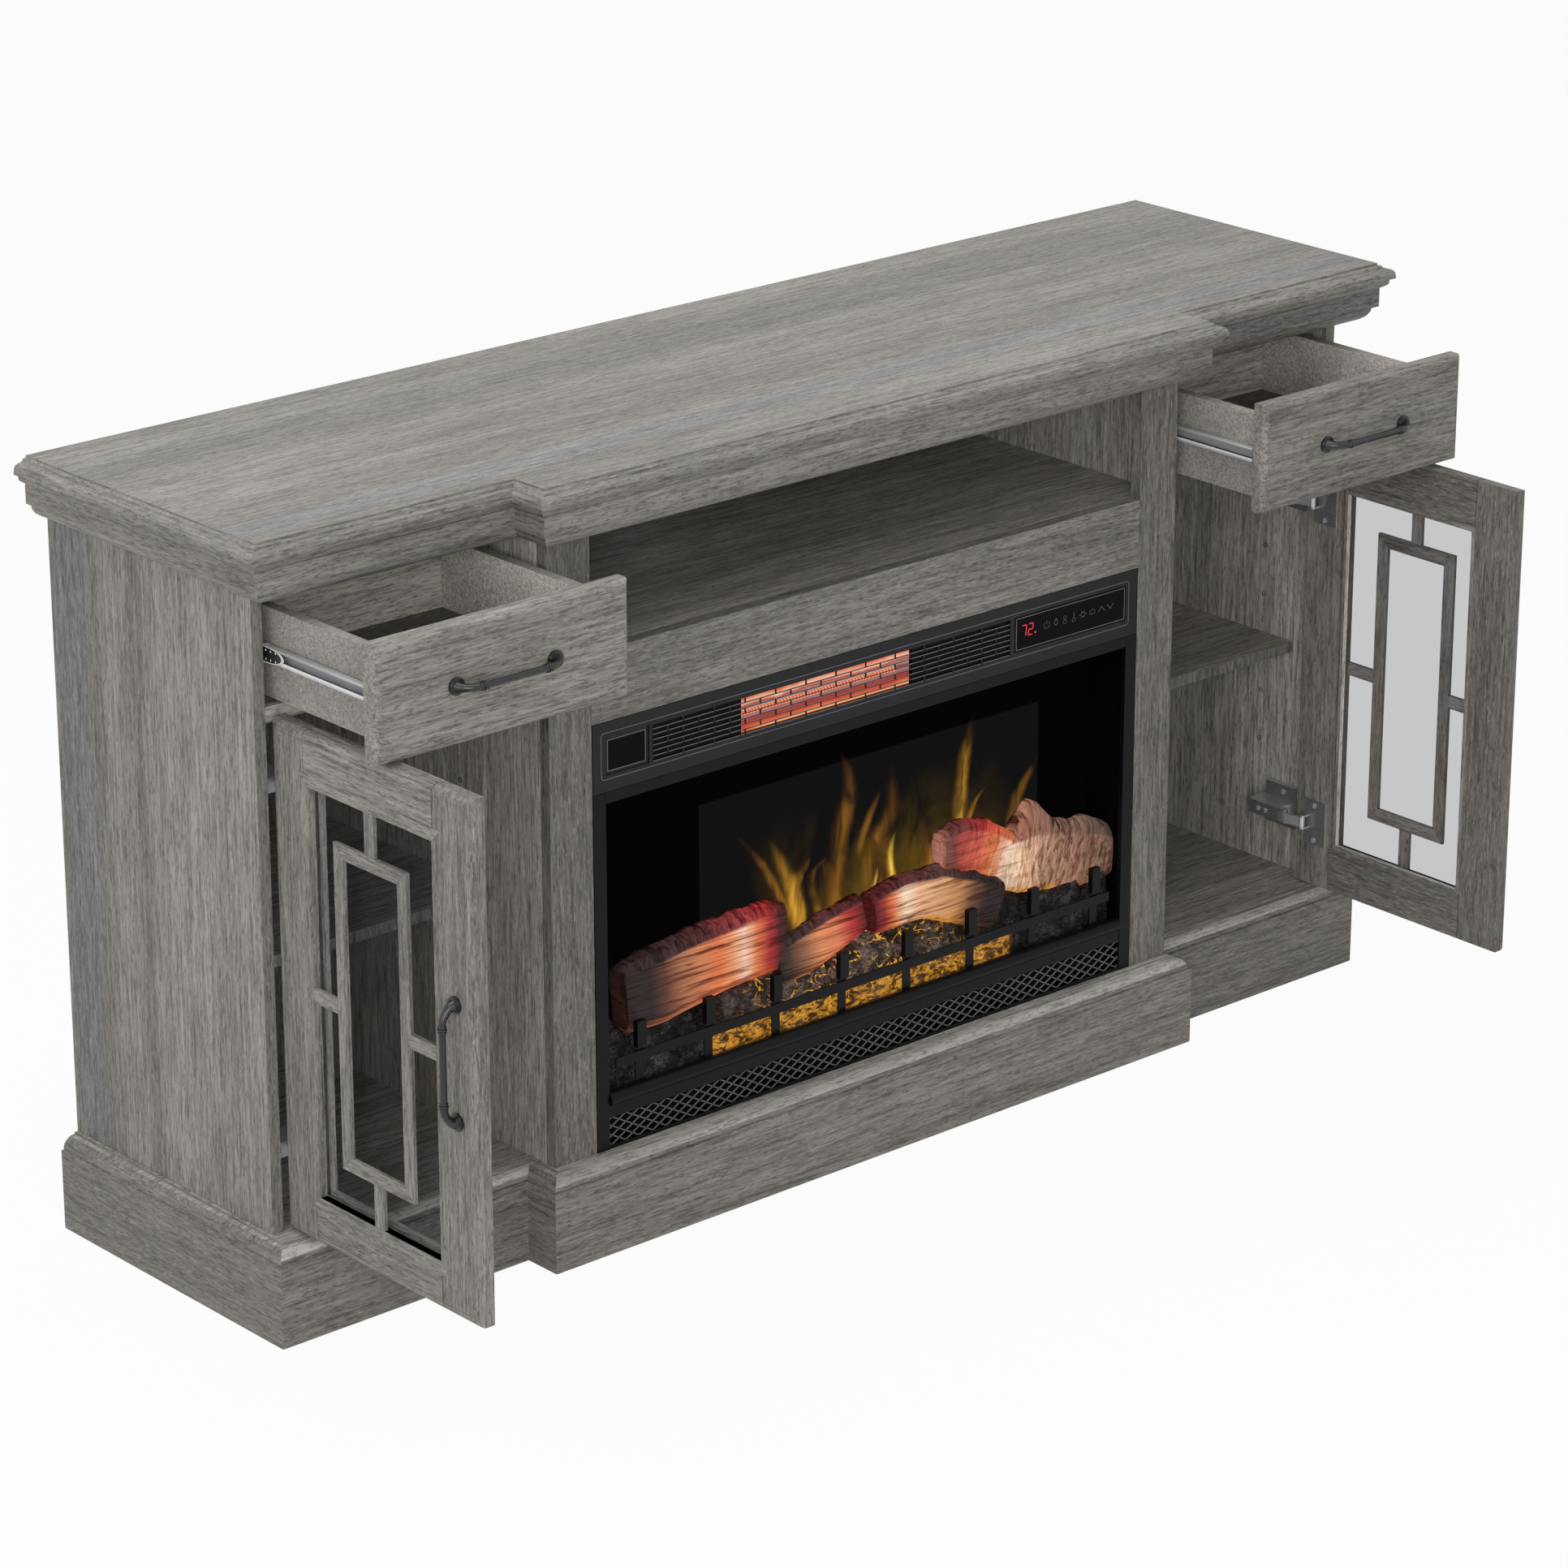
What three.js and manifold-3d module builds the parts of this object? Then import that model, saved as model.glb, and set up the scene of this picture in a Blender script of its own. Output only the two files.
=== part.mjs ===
// Media cabinet with a centre electric fire, two glazed doors and two drawers.
// Millimetres, +Z up, front towards -Y, origin on the floor under the middle of the body.
// The drawers stand out and the doors stand open, as in the photograph.
import * as THREE from 'three';
import { mergeVertices } from 'three/addons/utils/BufferGeometryUtils.js';
import Module from 'manifold-3d';

// Overall box of the carcass, measured from the back plane and the centre line.
const TOP_HEIGHT = 813;
const TOP_HALF_WIDTH = 747.7;
const WING_DEPTH = 369.3;
const CENTRE_HALF_WIDTH = 445.2;
const CENTRE_PROJECTION = 44.1;
const CENTRE_DEPTH = WING_DEPTH + CENTRE_PROJECTION;
const ORIGIN_DEPTH = CENTRE_DEPTH / 2;
const BACK_THICKNESS = 6;
const FLOOR_HEIGHT = 101.3;

// Top board edge and crown frame.
const TOP_EDGE_HEIGHT = 27.7;
const TOP_EDGE_REACH = 14.7;
const topReachShares = [0, 0, 0.245, 0.347, 0.517, 0.803, 0.952, 1, 1, 0.667, 0.667, 0.612, 0.435, 0.17];
const topDropShares = [0, 0.072, 0.112, 0.206, 0.206, 0.26, 0.368, 0.542, 0.603, 0.603, 0.765, 0.852, 0.917, 1];
const CROWN_HEIGHT = 37.3;
const CROWN_APRON = 20.5;
const CROWN_TOP = TOP_HEIGHT - TOP_EDGE_HEIGHT;
const CROWN_BOTTOM = CROWN_TOP - CROWN_HEIGHT;
const CROWN_STEP_HEIGHT = CROWN_TOP - CROWN_APRON;
const CROWN_REACH = 2.5;
const CROWN_STEP_INSET = 2.6;
const CROWN_ROUND = 16;
const CROWN_QUIRK = 0.7;
const ROUND_STEPS = 4;

// Bottom board edge and plinth frame.
const BOTTOM_THICKNESS = 14.8;
const LEDGE_INSET = 17;
const LEDGE_STEP = 2;
const BOTTOM_EDGE_INSET = 3;
const PLINTH_WALL = 15;
const RAIL_HALF_WIDTH = 30;

// Upright boards.
const SIDE_SET = 21;
const SIDE_THICKNESS = 13.1;
const SIDE_OUTER = TOP_HALF_WIDTH - SIDE_SET;
const SIDE_INNER = SIDE_OUTER - SIDE_THICKNESS;
const SIDE_FRONT_SET = 39.8;
const SIDE_DEPTH = WING_DEPTH - SIDE_FRONT_SET;
const PARTITION_SET = 20.2;
const PARTITION_THICKNESS = 14;
const PARTITION_OUTER = CENTRE_HALF_WIDTH - PARTITION_SET;
const PARTITION_INNER = PARTITION_OUTER - PARTITION_THICKNESS;
const PILASTER_WIDTH = 53.1;
const PILASTER_THICKNESS = 14.6;
const PILASTER_FRONT_SET = 23.8;
const PILASTER_INNER = PARTITION_OUTER - PILASTER_WIDTH;
const PILASTER_DEPTH = CENTRE_DEPTH - PILASTER_FRONT_SET;
const PARTITION_DEPTH = PILASTER_DEPTH - PILASTER_THICKNESS;

// Drawers, shut sizes. The rest pose adds the slide-out.
const DRAWER_INNER_GAP = 1.5;
const DRAWER_OUTER_GAP = 1.2;
const DRAWER_TOP_GAP = 2;
const DRAWER_FRONT_HEIGHT = 116.5;
const DRAWER_INNER = PARTITION_OUTER + DRAWER_INNER_GAP;
const DRAWER_OUTER = SIDE_OUTER - DRAWER_OUTER_GAP;
const DRAWER_TOP = CROWN_BOTTOM - DRAWER_TOP_GAP;
const DRAWER_BOTTOM = DRAWER_TOP - DRAWER_FRONT_HEIGHT;
const FRONT_THICKNESS = 18;
const FRONT_ROUND = 9;
const FRONT_GAP = 0.5;
const FRONT_BACK_DEPTH = SIDE_DEPTH + FRONT_GAP;
const DRAWER_SLIDE_OUT = 168;
const TRAY_SIDE_GAP = 12.7;
const TRAY_RISE = 11.5;
const TRAY_TOP_DROP = 16;
const TRAY_INNER = PARTITION_OUTER + TRAY_SIDE_GAP;
const TRAY_OUTER = SIDE_INNER - TRAY_SIDE_GAP;
const TRAY_BOTTOM = DRAWER_BOTTOM + TRAY_RISE;
const TRAY_TOP = DRAWER_TOP - TRAY_TOP_DROP;
const TRAY_WALL = 12;
const TRAY_FLOOR_RISE = 13;
const TRAY_FLOOR_SHEET = 5;
const TRAY_LENGTH = 251;

// Boards that lie flat, and the rail over the fire.
const MEDIA_BAY_HEIGHT = 120;
const MEDIA_SHELF_TOP = CROWN_BOTTOM - MEDIA_BAY_HEIGHT;
const MEDIA_SHELF_THICKNESS = 15;
const MANTEL_HEIGHT = 74.7;
const RAIL_BOTTOM = MEDIA_SHELF_TOP - MANTEL_HEIGHT;
const DIVIDER_LAP = 6.8;
const DIVIDER_TOP = DRAWER_BOTTOM + DIVIDER_LAP;
const DIVIDER_THICKNESS = 15.5;
const SHELF_DROP = 249.8;
const SHELF_TOP = DIVIDER_TOP - DIVIDER_THICKNESS - SHELF_DROP;
const SHELF_THICKNESS = 12;
const SHELF_FRONT_SET = 32.5;
const SHELF_DEPTH = SIDE_DEPTH - SHELF_FRONT_SET;
const SHELF_SIDE_GAP = 0.3;
const PIN_SIZE = 5;
const PIN_LENGTH = 8;
const PIN_FRONT_SET = 80;
const PIN_FRONT = SIDE_DEPTH - PIN_FRONT_SET;
const PIN_BACK = 60;
const CABLE_HOLE_RADIUS = 28;
const CABLE_HOLE_SIDES = 16;
const CUPBOARD_CABLE_RISE = 59;
const MEDIA_CABLE_RISE = 62;
const CUPBOARD_CABLE_HEIGHT = SHELF_TOP + CUPBOARD_CABLE_RISE;
const MEDIA_CABLE_HEIGHT = MEDIA_SHELF_TOP + MEDIA_CABLE_RISE;

// Ball slides.
const SLIDE_RISE = 58.5;
const SLIDE_HEIGHT = DRAWER_BOTTOM + SLIDE_RISE;
const SLIDE_FRONT_GAP = 4;
const SLIDE_LENGTH = TRAY_LENGTH - 2 * SLIDE_FRONT_GAP;
const OUTER_HALF_HEIGHT = 9.3;
const SLIDE_METAL = 1.3;
const SLIDE_PLAY = 0.25;
const INNER_HALF_HEIGHT = OUTER_HALF_HEIGHT - SLIDE_METAL - SLIDE_PLAY;
const OUTER_FLANGE = 9;
const INNER_FLANGE = 8.5;

// Doors, shut sizes along the cabinet: the rest pose turns them a quarter turn.
const DOOR_FLOOR_GAP = 2.7;
const DOOR_DRAWER_GAP = 3;
const DOOR_FACE_INSET = 16.7;
const DOOR_BOTTOM = FLOOR_HEIGHT + DOOR_FLOOR_GAP;
const DOOR_TOP = DRAWER_BOTTOM - DOOR_DRAWER_GAP;
const DOOR_OPEN_FACE = SIDE_OUTER - DOOR_FACE_INSET;
const STILE = 56;
const RAIL_LOW = 51;
const RAIL_HIGH = 54;
const GLASS_REBATE = 2;
const GLASS_FRONT = 9;
const GLASS_THICKNESS = 3;
const GLASS_GAP = 0.3;
const GLASS_PLAY = 0.1;
const BEAD_WIDTH = 8;
const BEAD_SLOPE = 3.3;
const LATTICE_BAR = 14.8;
const LATTICE_THICKNESS = 4;
const RING_START = 93.7;
const RING_END = 204.3;
const RING_RISE = 94.6;
const RING_DROP = 96.9;
const RING_BOTTOM = DOOR_BOTTOM + RING_RISE;
const RING_TOP = DOOR_TOP - RING_DROP;

// Bar pulls.
const PULL_HALF_SPAN = 58;
const PULL_REACH = 16;
const PULL_RADIUS = 3.5;
const PULL_COLLAR_AT = 38;
const PULL_COLLAR_HALF = 3.2;
const PULL_COLLAR_RADIUS = 4.6;
const ROSETTE_RADIUS = 8.8;
const ROSETTE_HEIGHT = 3.4;
const ROSETTE_TOP_SHARE = 0.6;
const PULL_SIDES = 8;
const PULL_STEPS = 16;
const ROSETTE_SIDES = 12;
const DRAWER_PULL_RISE = 58.5;
const DRAWER_PULL_HEIGHT = DRAWER_BOTTOM + DRAWER_PULL_RISE;
const DOOR_PULL_DROP = 1.25;
const DOOR_PULL_HEIGHT = (DOOR_BOTTOM + DOOR_TOP) / 2 - DOOR_PULL_DROP;
const DOOR_PULL_FROM_EDGE = 26;

// Concealed hinges. The pivots are set from the corner of the open door, inwards and forwards.
const HINGE_RISE = 74;
const HINGE_DROP = 74.5;
const HINGE_HEIGHTS = [DOOR_BOTTOM + HINGE_RISE, DOOR_TOP - HINGE_DROP];
const FIXED_PIVOT_IN = 27.25;
const FIXED_PIVOT_BEHIND = 8.75;
const LINK_BEND_IN = 31.1;
const LINK_BEND_BEHIND = 3.9;
const DOOR_PIVOT_IN = 27;
const DOOR_PIVOT_AHEAD = 17;
const FIXED_PIVOT = [-DOOR_OPEN_FACE + FIXED_PIVOT_IN, -FRONT_BACK_DEPTH + FIXED_PIVOT_BEHIND];
const LINK_BEND = [-DOOR_OPEN_FACE + LINK_BEND_IN, -FRONT_BACK_DEPTH + LINK_BEND_BEHIND];
const DOOR_PIVOT = [-DOOR_OPEN_FACE + DOOR_PIVOT_IN, -FRONT_BACK_DEPTH - DOOR_PIVOT_AHEAD];
const PIVOT_PIN_RADIUS = 1.8;
const PIVOT_BORE_RADIUS = 2.1;
const PIVOT_EYE_RADIUS = 3.5;
const PIVOT_SIDES = 12;
const LINK_HALF_HEIGHT = 5.7;
const LINK_HALF_WIDTH = 2;
const EAR_START = 6;
const EAR_END = 8;
const PLATE_THICKNESS = 8;
const PLATE_SET = 14.5;
const PLATE_LENGTH = 44;
const PLATE_FRONT = SIDE_DEPTH - PLATE_SET;
const PLATE_BACK = PLATE_FRONT - PLATE_LENGTH;
const PLATE_HALF_HEIGHT = 24;
const ARM_SET = 1;
const ARM_OVERRUN = 3;
const ARM_FRONT = PLATE_FRONT - ARM_SET;
const ARM_BACK = PLATE_BACK - ARM_OVERRUN;
const CUP_PLATE_START = 13.2;
const CUP_PLATE_END = 45;
const CUP_PLATE_THICKNESS = 1.5;
const CUP_HALF_HEIGHT = 26;
const CUP_CENTRE = 29;
const CUP_RADIUS = 15;
const CUP_DEPTH = 11;
const CUP_GAP = 0.3;
const CUP_SIDES = 16;

// Electric fire: its box between the pilasters and under the rail.
const INSERT_SIDE_GAP = 0.4;
const INSERT_TOP_GAP = 0.3;
const INSERT_PROUD = 0.4;
const INSERT_HALF_WIDTH = PILASTER_INNER - INSERT_SIDE_GAP;
const INSERT_DEPTH = PILASTER_DEPTH + INSERT_PROUD;
const INSERT_SHEET = 6;
const INSERT_TOP = RAIL_BOTTOM - INSERT_TOP_GAP;
const CONTROL_HEIGHT = 72;
const CONTROL_SPLIT = INSERT_TOP - CONTROL_HEIGHT;
const CONTROL_SEAM = 0.3;
const FIRE_FRAME_SIDE = 16;
const FIRE_FRAME_HEAD = 12;
const FIRE_RISE = 53.7;
const FIRE_HALF_WIDTH = INSERT_HALF_WIDTH - FIRE_FRAME_SIDE;
const FIRE_BOTTOM = FLOOR_HEIGHT + FIRE_RISE;
const FIRE_TOP = CONTROL_SPLIT - FIRE_FRAME_HEAD;
const SILL_DROP = 0.5;
const SILL_END_GAP = 0.5;
const SILL_HEIGHT = FIRE_BOTTOM - SILL_DROP;
const SILL_RADIUS = 7.5;
const SILL_HALF_LENGTH = FIRE_HALF_WIDTH - SILL_END_GAP;
const SILL_SIDES = 12;
const SILL_SET = 2.5;
const LATTICE_MARGIN = 12.1;
const LATTICE_RISE = 3.7;
const LATTICE_HEIGHT = 30;
const LATTICE_HALF_WIDTH = INSERT_HALF_WIDTH - LATTICE_MARGIN;
const LATTICE_LOW = FLOOR_HEIGHT + LATTICE_RISE;
const LATTICE_HIGH = LATTICE_LOW + LATTICE_HEIGHT;
const LATTICE_COUNT = 24;
const latticeWebShare = 0.16;

// Control bar: remote window, air grille and display, from left to right.
const REMOTE_MARGIN = 15.5;
const REMOTE_WIDTH = 56;
const REMOTE_START = -INSERT_HALF_WIDTH + REMOTE_MARGIN;
const REMOTE_END = REMOTE_START + REMOTE_WIDTH;
const REMOTE_RECESS = 1.5;
const DISPLAY_MARGIN = 18;
const DISPLAY_WIDTH = 160.7;
const DISPLAY_RISE = 18.5;
const DISPLAY_HEIGHT = 38;
const DISPLAY_END = INSERT_HALF_WIDTH - DISPLAY_MARGIN;
const DISPLAY_START = DISPLAY_END - DISPLAY_WIDTH;
const DISPLAY_LOW = CONTROL_SPLIT + DISPLAY_RISE;
const DISPLAY_HIGH = DISPLAY_LOW + DISPLAY_HEIGHT;
const DISPLAY_GAP = 0.25;
const DISPLAY_THICKNESS = 6;
const GRILLE_REMOTE_GAP = 4;
const GRILLE_DISPLAY_GAP = 5.8;
const GRILLE_RISE = 17;
const GRILLE_HEIGHT = 39;
const GRILLE_START = REMOTE_END + GRILLE_REMOTE_GAP;
const GRILLE_END = DISPLAY_START - GRILLE_DISPLAY_GAP;
const GRILLE_LOW = CONTROL_SPLIT + GRILLE_RISE;
const GRILLE_HIGH = GRILLE_LOW + GRILLE_HEIGHT;
const GRILLE_COLUMNS = 12;
const GRILLE_ROWS = 7;
const GRILLE_WEB = 1.9;

// Metal box behind the fire front, its deck, the heater and the screen.
const SHELL_SIDE_INSET = 5.5;
const SHELL_TOP_DROP = 4;
const SHELL_DEPTH = 240;
const SHELL_HALF_WIDTH = INSERT_HALF_WIDTH - SHELL_SIDE_INSET;
const SHELL_TOP = INSERT_TOP - SHELL_TOP_DROP;
const SHELL_BACK = INSERT_DEPTH - SHELL_DEPTH;
const SHELL_WALL = 3;
const DECK_DROP = 3;
const DECK_HEIGHT = CONTROL_SPLIT - DECK_DROP;
const SCREEN_SET = 62;
const SCREEN_DEPTH = INSERT_DEPTH - SCREEN_SET;
const SCREEN_THICKNESS = 3;
const SCREEN_GAP = 0.3;
const HEATER_FROM_GRILLE = 118;
const HEATER_WIDTH = 229;
const HEATER_RISE = 13;
const HEATER_HEIGHT = 47;
const HEATER_GAP = 0.3;
const HEATER_DEPTH = 43.7;
const HEATER_START = GRILLE_START + HEATER_FROM_GRILLE;
const HEATER_END = HEATER_START + HEATER_WIDTH;
const HEATER_LOW = CONTROL_SPLIT + HEATER_RISE;
const HEATER_HIGH = HEATER_LOW + HEATER_HEIGHT;
const HEATER_FRONT = INSERT_DEPTH - INSERT_SHEET - HEATER_GAP;
const HEATER_BACK = HEATER_FRONT - HEATER_DEPTH;
const HEATER_WALL = 2;
const TUBE_RADIUS = 5;
const TUBE_SET = 21.7;
const TUBE_MARGIN = 14;
const TUBE_DEPTH = HEATER_FRONT - TUBE_SET;
const TUBE_HEIGHTS = [HEATER_LOW + TUBE_MARGIN, HEATER_HIGH - TUBE_MARGIN];
const TUBE_SIDES = 10;

// Grate, embers, logs and the turning rod behind the screen.
const GRATE_SET = 4;
const GRATE_SHEET = 3;
const GRATE_END_GAP = 12.5;
const GRATE_RAIL_RISE = 29;
const GRATE_RAIL_HEIGHT = 11;
const GRATE_POST_RISE = 31;
const GRATE_FRONT = INSERT_DEPTH - GRATE_SET;
const GRATE_HALF_LENGTH = FIRE_HALF_WIDTH - GRATE_END_GAP;
const GRATE_RAIL_LOW = FIRE_BOTTOM + GRATE_RAIL_RISE;
const GRATE_RAIL_HIGH = GRATE_RAIL_LOW + GRATE_RAIL_HEIGHT;
const GRATE_POST_TOP = GRATE_RAIL_HIGH + GRATE_POST_RISE;
const GRATE_SEAT = 0.2;
const GRATE_POST_WIDTH = 11;
const GRATE_POST_INSET = 32;
const GRATE_FIRST_POST = -GRATE_HALF_LENGTH + GRATE_POST_INSET;
const GRATE_POST_END_INSET = 21.9;
const GRATE_POSTS = 8;
const GRATE_POST_RUN = 2 * GRATE_HALF_LENGTH - GRATE_POST_INSET - GRATE_POST_END_INSET;
const GRATE_POST_PITCH = GRATE_POST_RUN / (GRATE_POSTS - 1);
const EMBER_END_GAP = 3.5;
const EMBER_SET = 11.3;
const EMBER_SCREEN_GAP = 4;
const EMBER_HEIGHT = 51;
const EMBER_HALF_LENGTH = FIRE_HALF_WIDTH - EMBER_END_GAP;
const EMBER_FRONT = INSERT_DEPTH - EMBER_SET;
const EMBER_BACK = SCREEN_DEPTH + EMBER_SCREEN_GAP;
const EMBER_TOP = FIRE_BOTTOM + EMBER_HEIGHT;
const EMBER_SWELL = 9;
const EMBER_STATIONS = 28;
const LOG_SET_HEIGHT = 314;
const LOG_STATIONS = 7;
const LOG_SIDES = 9;
const LOG_SEAT = 0.3;
const ROD_BEHIND = 58;
const ROD_RISE = 60;
const ROD_DEPTH = SCREEN_DEPTH - ROD_BEHIND;
const ROD_HEIGHT = FIRE_BOTTOM + ROD_RISE;
const ROD_RADIUS = 3;
const ROD_GAP = 0.3;
const ROD_SIDES = 12;
const ROD_VANES = 12;
const ROD_VANE_LENGTH = 40;
const ROD_VANE_MARGIN = 38;
const ROD_VANE_RUN = 2 * (SHELL_HALF_WIDTH - ROD_VANE_MARGIN) - ROD_VANE_LENGTH;
const ROD_VANE_PITCH = ROD_VANE_RUN / (ROD_VANES - 1);
const ROD_VANE_REACH = 13;
const ROD_VANE_SHEET = 1.2;

// Logs as shares: ends across half the fire opening and up the log set's height, half heights of it,
// half thickness and centre of the ember bed's depth.
const logShares = [
  { from: [-0.906, 0.29], to: [-0.304, 0.341], radii: [0.121, 0.118], thickness: 0.4, centre: 0.55 },
  { from: [-0.349, 0.236], to: [-0.006, 0.325], radii: [0.076, 0.064], thickness: 0.19, centre: 0.21 },
  { from: [-0.0225, 0.315], to: [0.52, 0.2], radii: [0.07, 0.08], thickness: 0.32, centre: 0.42 },
  { from: [0.37, 0.36], to: [0.95, 0.25], radii: [0.118, 0.092], thickness: 0.42, centre: 0.55 },
  { from: [0.32, 0.436], to: [0.46, 0.341], radii: [0.073, 0.096], thickness: 0.32, centre: 0.55 },
  { from: [0.7, 0.3], to: [0.72, 0.46], radii: [0.086, 0.038], thickness: 0.28, centre: 0.55 },
];

const WOOD_COLOUR = 0x7c766f;
const WOOD_ROUGHNESS = 0.62;
const BLACK_COLOUR = 0x1d1e21;
const BLACK_ROUGHNESS = 0.45;
const PULL_COLOUR = 0x2b2c2f;
const STEEL_COLOUR = 0xb4b6b9;
const STEEL_ROUGHNESS = 0.3;
const GLASS_COLOUR = 0x3c4043;
const EMBER_COLOUR = 0x3a2f2a;
const LOG_COLOUR = 0x9a5f45;
const QUARTZ_COLOUR = 0xf0703a;
const ALUMINIUM_COLOUR = 0xc6c8ca;

// Overrun of every cutting solid, bite of joined solids, and merge distance.
const CUTTER = 20;
const BITE = 1;
const WELD = 0.0001;

const wasm = await Module();
wasm.setup();

const group = new THREE.Group();
group.name = 'fireplace_tv_stand';

// Closed mesh from points and triangles, turned to face outwards.
function solidFrom(points, faces) {
  let volume = 0;
  const a = new THREE.Vector3();
  for (const [i, j, k] of faces) {
    volume += points[i].dot(a.crossVectors(points[j], points[k]));
  }
  const positions = [];
  for (const face of faces) {
    const order = volume < 0 ? [face[0], face[2], face[1]] : face;
    for (const index of order) {
      positions.push(points[index].x, points[index].y, points[index].z);
    }
  }
  const geometry = new THREE.BufferGeometry();
  geometry.setAttribute('position', new THREE.Float32BufferAttribute(positions, 3));
  return geometry;
}

// Triangles over a flat ring of points, wound the same way as the ring.
function capFaces(ring) {
  const size = new THREE.Box3().setFromPoints(ring).getSize(new THREE.Vector3());
  const flat = ring.map((p) => {
    if (size.x <= size.y && size.x <= size.z) return new THREE.Vector2(p.y, p.z);
    if (size.y <= size.z) return new THREE.Vector2(p.x, p.z);
    return new THREE.Vector2(p.x, p.y);
  });
  const forward = THREE.ShapeUtils.area(flat) > 0;
  const faces = THREE.ShapeUtils.triangulateShape(flat, []);
  // A nearly straight corner can be dropped there, and a fan closes such a ring.
  if (faces.length < ring.length - 2) {
    return ring.slice(2).map((point, n) => [0, n + 1, n + 2]);
  }
  return faces.map(([i, j, k]) => {
    const turn = THREE.ShapeUtils.area([flat[i], flat[j], flat[k]]) > 0;
    return turn === forward ? [i, j, k] : [i, k, j];
  });
}

// Solid through rings that all have the same number of points.
function loft(rings) {
  const count = rings[0].length;
  const points = rings.flat();
  const faces = capFaces(rings[0]).map(([i, j, k]) => [i, k, j]);
  const last = (rings.length - 1) * count;
  for (const [i, j, k] of capFaces(rings[rings.length - 1])) {
    faces.push([last + i, last + j, last + k]);
  }
  for (let r = 0; r < rings.length - 1; r += 1) {
    for (let n = 0; n < count; n += 1) {
      const here = r * count + n;
      const beside = r * count + ((n + 1) % count);
      faces.push([here, beside, beside + count], [here, beside + count, here + count]);
    }
  }
  return solidFrom(points, faces);
}

function box(x0, x1, y0, y1, z0, z1) {
  const geometry = new THREE.BoxGeometry(Math.abs(x1 - x0), Math.abs(y1 - y0), Math.abs(z1 - z0));
  geometry.translate((x0 + x1) / 2, (y0 + y1) / 2, (z0 + z1) / 2);
  return geometry;
}

// Round bar along one axis, with flat facets square to the other two.
function bar(axis, centre, radius, low, high, sides) {
  const geometry = new THREE.CylinderGeometry(radius, radius, high - low, sides);
  geometry.rotateY(Math.PI / sides);
  if (axis === 'z') geometry.rotateX(Math.PI / 2);
  if (axis === 'x') geometry.rotateZ(Math.PI / 2);
  const middle = (low + high) / 2;
  const [p, q] = centre;
  if (axis === 'x') geometry.translate(middle, p, q);
  if (axis === 'y') geometry.translate(p, middle, q);
  if (axis === 'z') geometry.translate(p, q, middle);
  return geometry;
}

function asManifold(item) {
  if (!(item instanceof THREE.BufferGeometry)) return item;
  const geometry = item;
  const bare = new THREE.BufferGeometry();
  bare.setAttribute('position', geometry.getAttribute('position').clone());
  if (geometry.index) bare.setIndex(geometry.index.clone());
  const merged = mergeVertices(bare, WELD);
  const mesh = new wasm.Mesh({
    numProp: 3,
    vertProperties: new Float32Array(merged.getAttribute('position').array),
    triVerts: new Uint32Array(merged.index.array),
  });
  return new wasm.Manifold(mesh);
}

function asGeometry(item) {
  if (item instanceof THREE.BufferGeometry) return item;
  const mesh = item.getMesh();
  const positions = [];
  for (const vertex of mesh.triVerts) {
    for (let n = 0; n < 3; n += 1) positions.push(mesh.vertProperties[vertex * mesh.numProp + n]);
  }
  const geometry = new THREE.BufferGeometry();
  geometry.setAttribute('position', new THREE.Float32BufferAttribute(positions, 3));
  return geometry;
}

function join(...items) {
  return items.map(asManifold).reduce((sum, next) => sum.add(next));
}

function cut(item, ...tools) {
  return tools.map(asManifold).reduce((rest, tool) => rest.subtract(tool), asManifold(item));
}

// Flat plate across the front: an outline in X and Z with holes, between two depths.
function frontPlate(outline, holes, front, back) {
  const shape = new THREE.Shape(outline.map(([x, z]) => new THREE.Vector2(x, z)));
  for (const hole of holes) {
    shape.holes.push(new THREE.Path(hole.map(([x, z]) => new THREE.Vector2(x, z))));
  }
  const geometry = new THREE.ExtrudeGeometry(shape, { depth: front - back, bevelEnabled: false });
  geometry.rotateX(Math.PI / 2);
  geometry.translate(0, -back, 0);
  return geometry;
}

function rectangle(x0, x1, z0, z1) {
  return [[x0, z0], [x1, z0], [x1, z1], [x0, z1]];
}

function mirrored(item) {
  const geometry = asGeometry(item);
  const copy = geometry.index ? geometry.toNonIndexed() : geometry.clone();
  copy.scale(-1, 1, 1);
  const source = copy.getAttribute('position');
  const positions = [];
  for (let n = 0; n < source.count; n += 3) {
    for (const m of [n, n + 2, n + 1]) positions.push(source.getX(m), source.getY(m), source.getZ(m));
  }
  const flipped = new THREE.BufferGeometry();
  flipped.setAttribute('position', new THREE.Float32BufferAttribute(positions, 3));
  return flipped;
}

const finishes = {
  wood: { color: WOOD_COLOUR, roughness: WOOD_ROUGHNESS, metalness: 0 },
  black: { color: BLACK_COLOUR, roughness: BLACK_ROUGHNESS, metalness: 0.2 },
  pull: { color: PULL_COLOUR, roughness: 0.38, metalness: 0.7 },
  steel: { color: STEEL_COLOUR, roughness: STEEL_ROUGHNESS, metalness: 1 },
  glass: { color: GLASS_COLOUR, roughness: 0.05, metalness: 0 },
  screen: { color: BLACK_COLOUR, roughness: 0.15, metalness: 0 },
  display: { color: BLACK_COLOUR, roughness: 0.08, metalness: 0 },
  ember: { color: EMBER_COLOUR, roughness: 0.8, metalness: 0 },
  log: { color: LOG_COLOUR, roughness: 0.7, metalness: 0 },
  quartz: { color: QUARTZ_COLOUR, roughness: 0.3, metalness: 0 },
  aluminium: { color: ALUMINIUM_COLOUR, roughness: 0.25, metalness: 1 },
};

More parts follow.
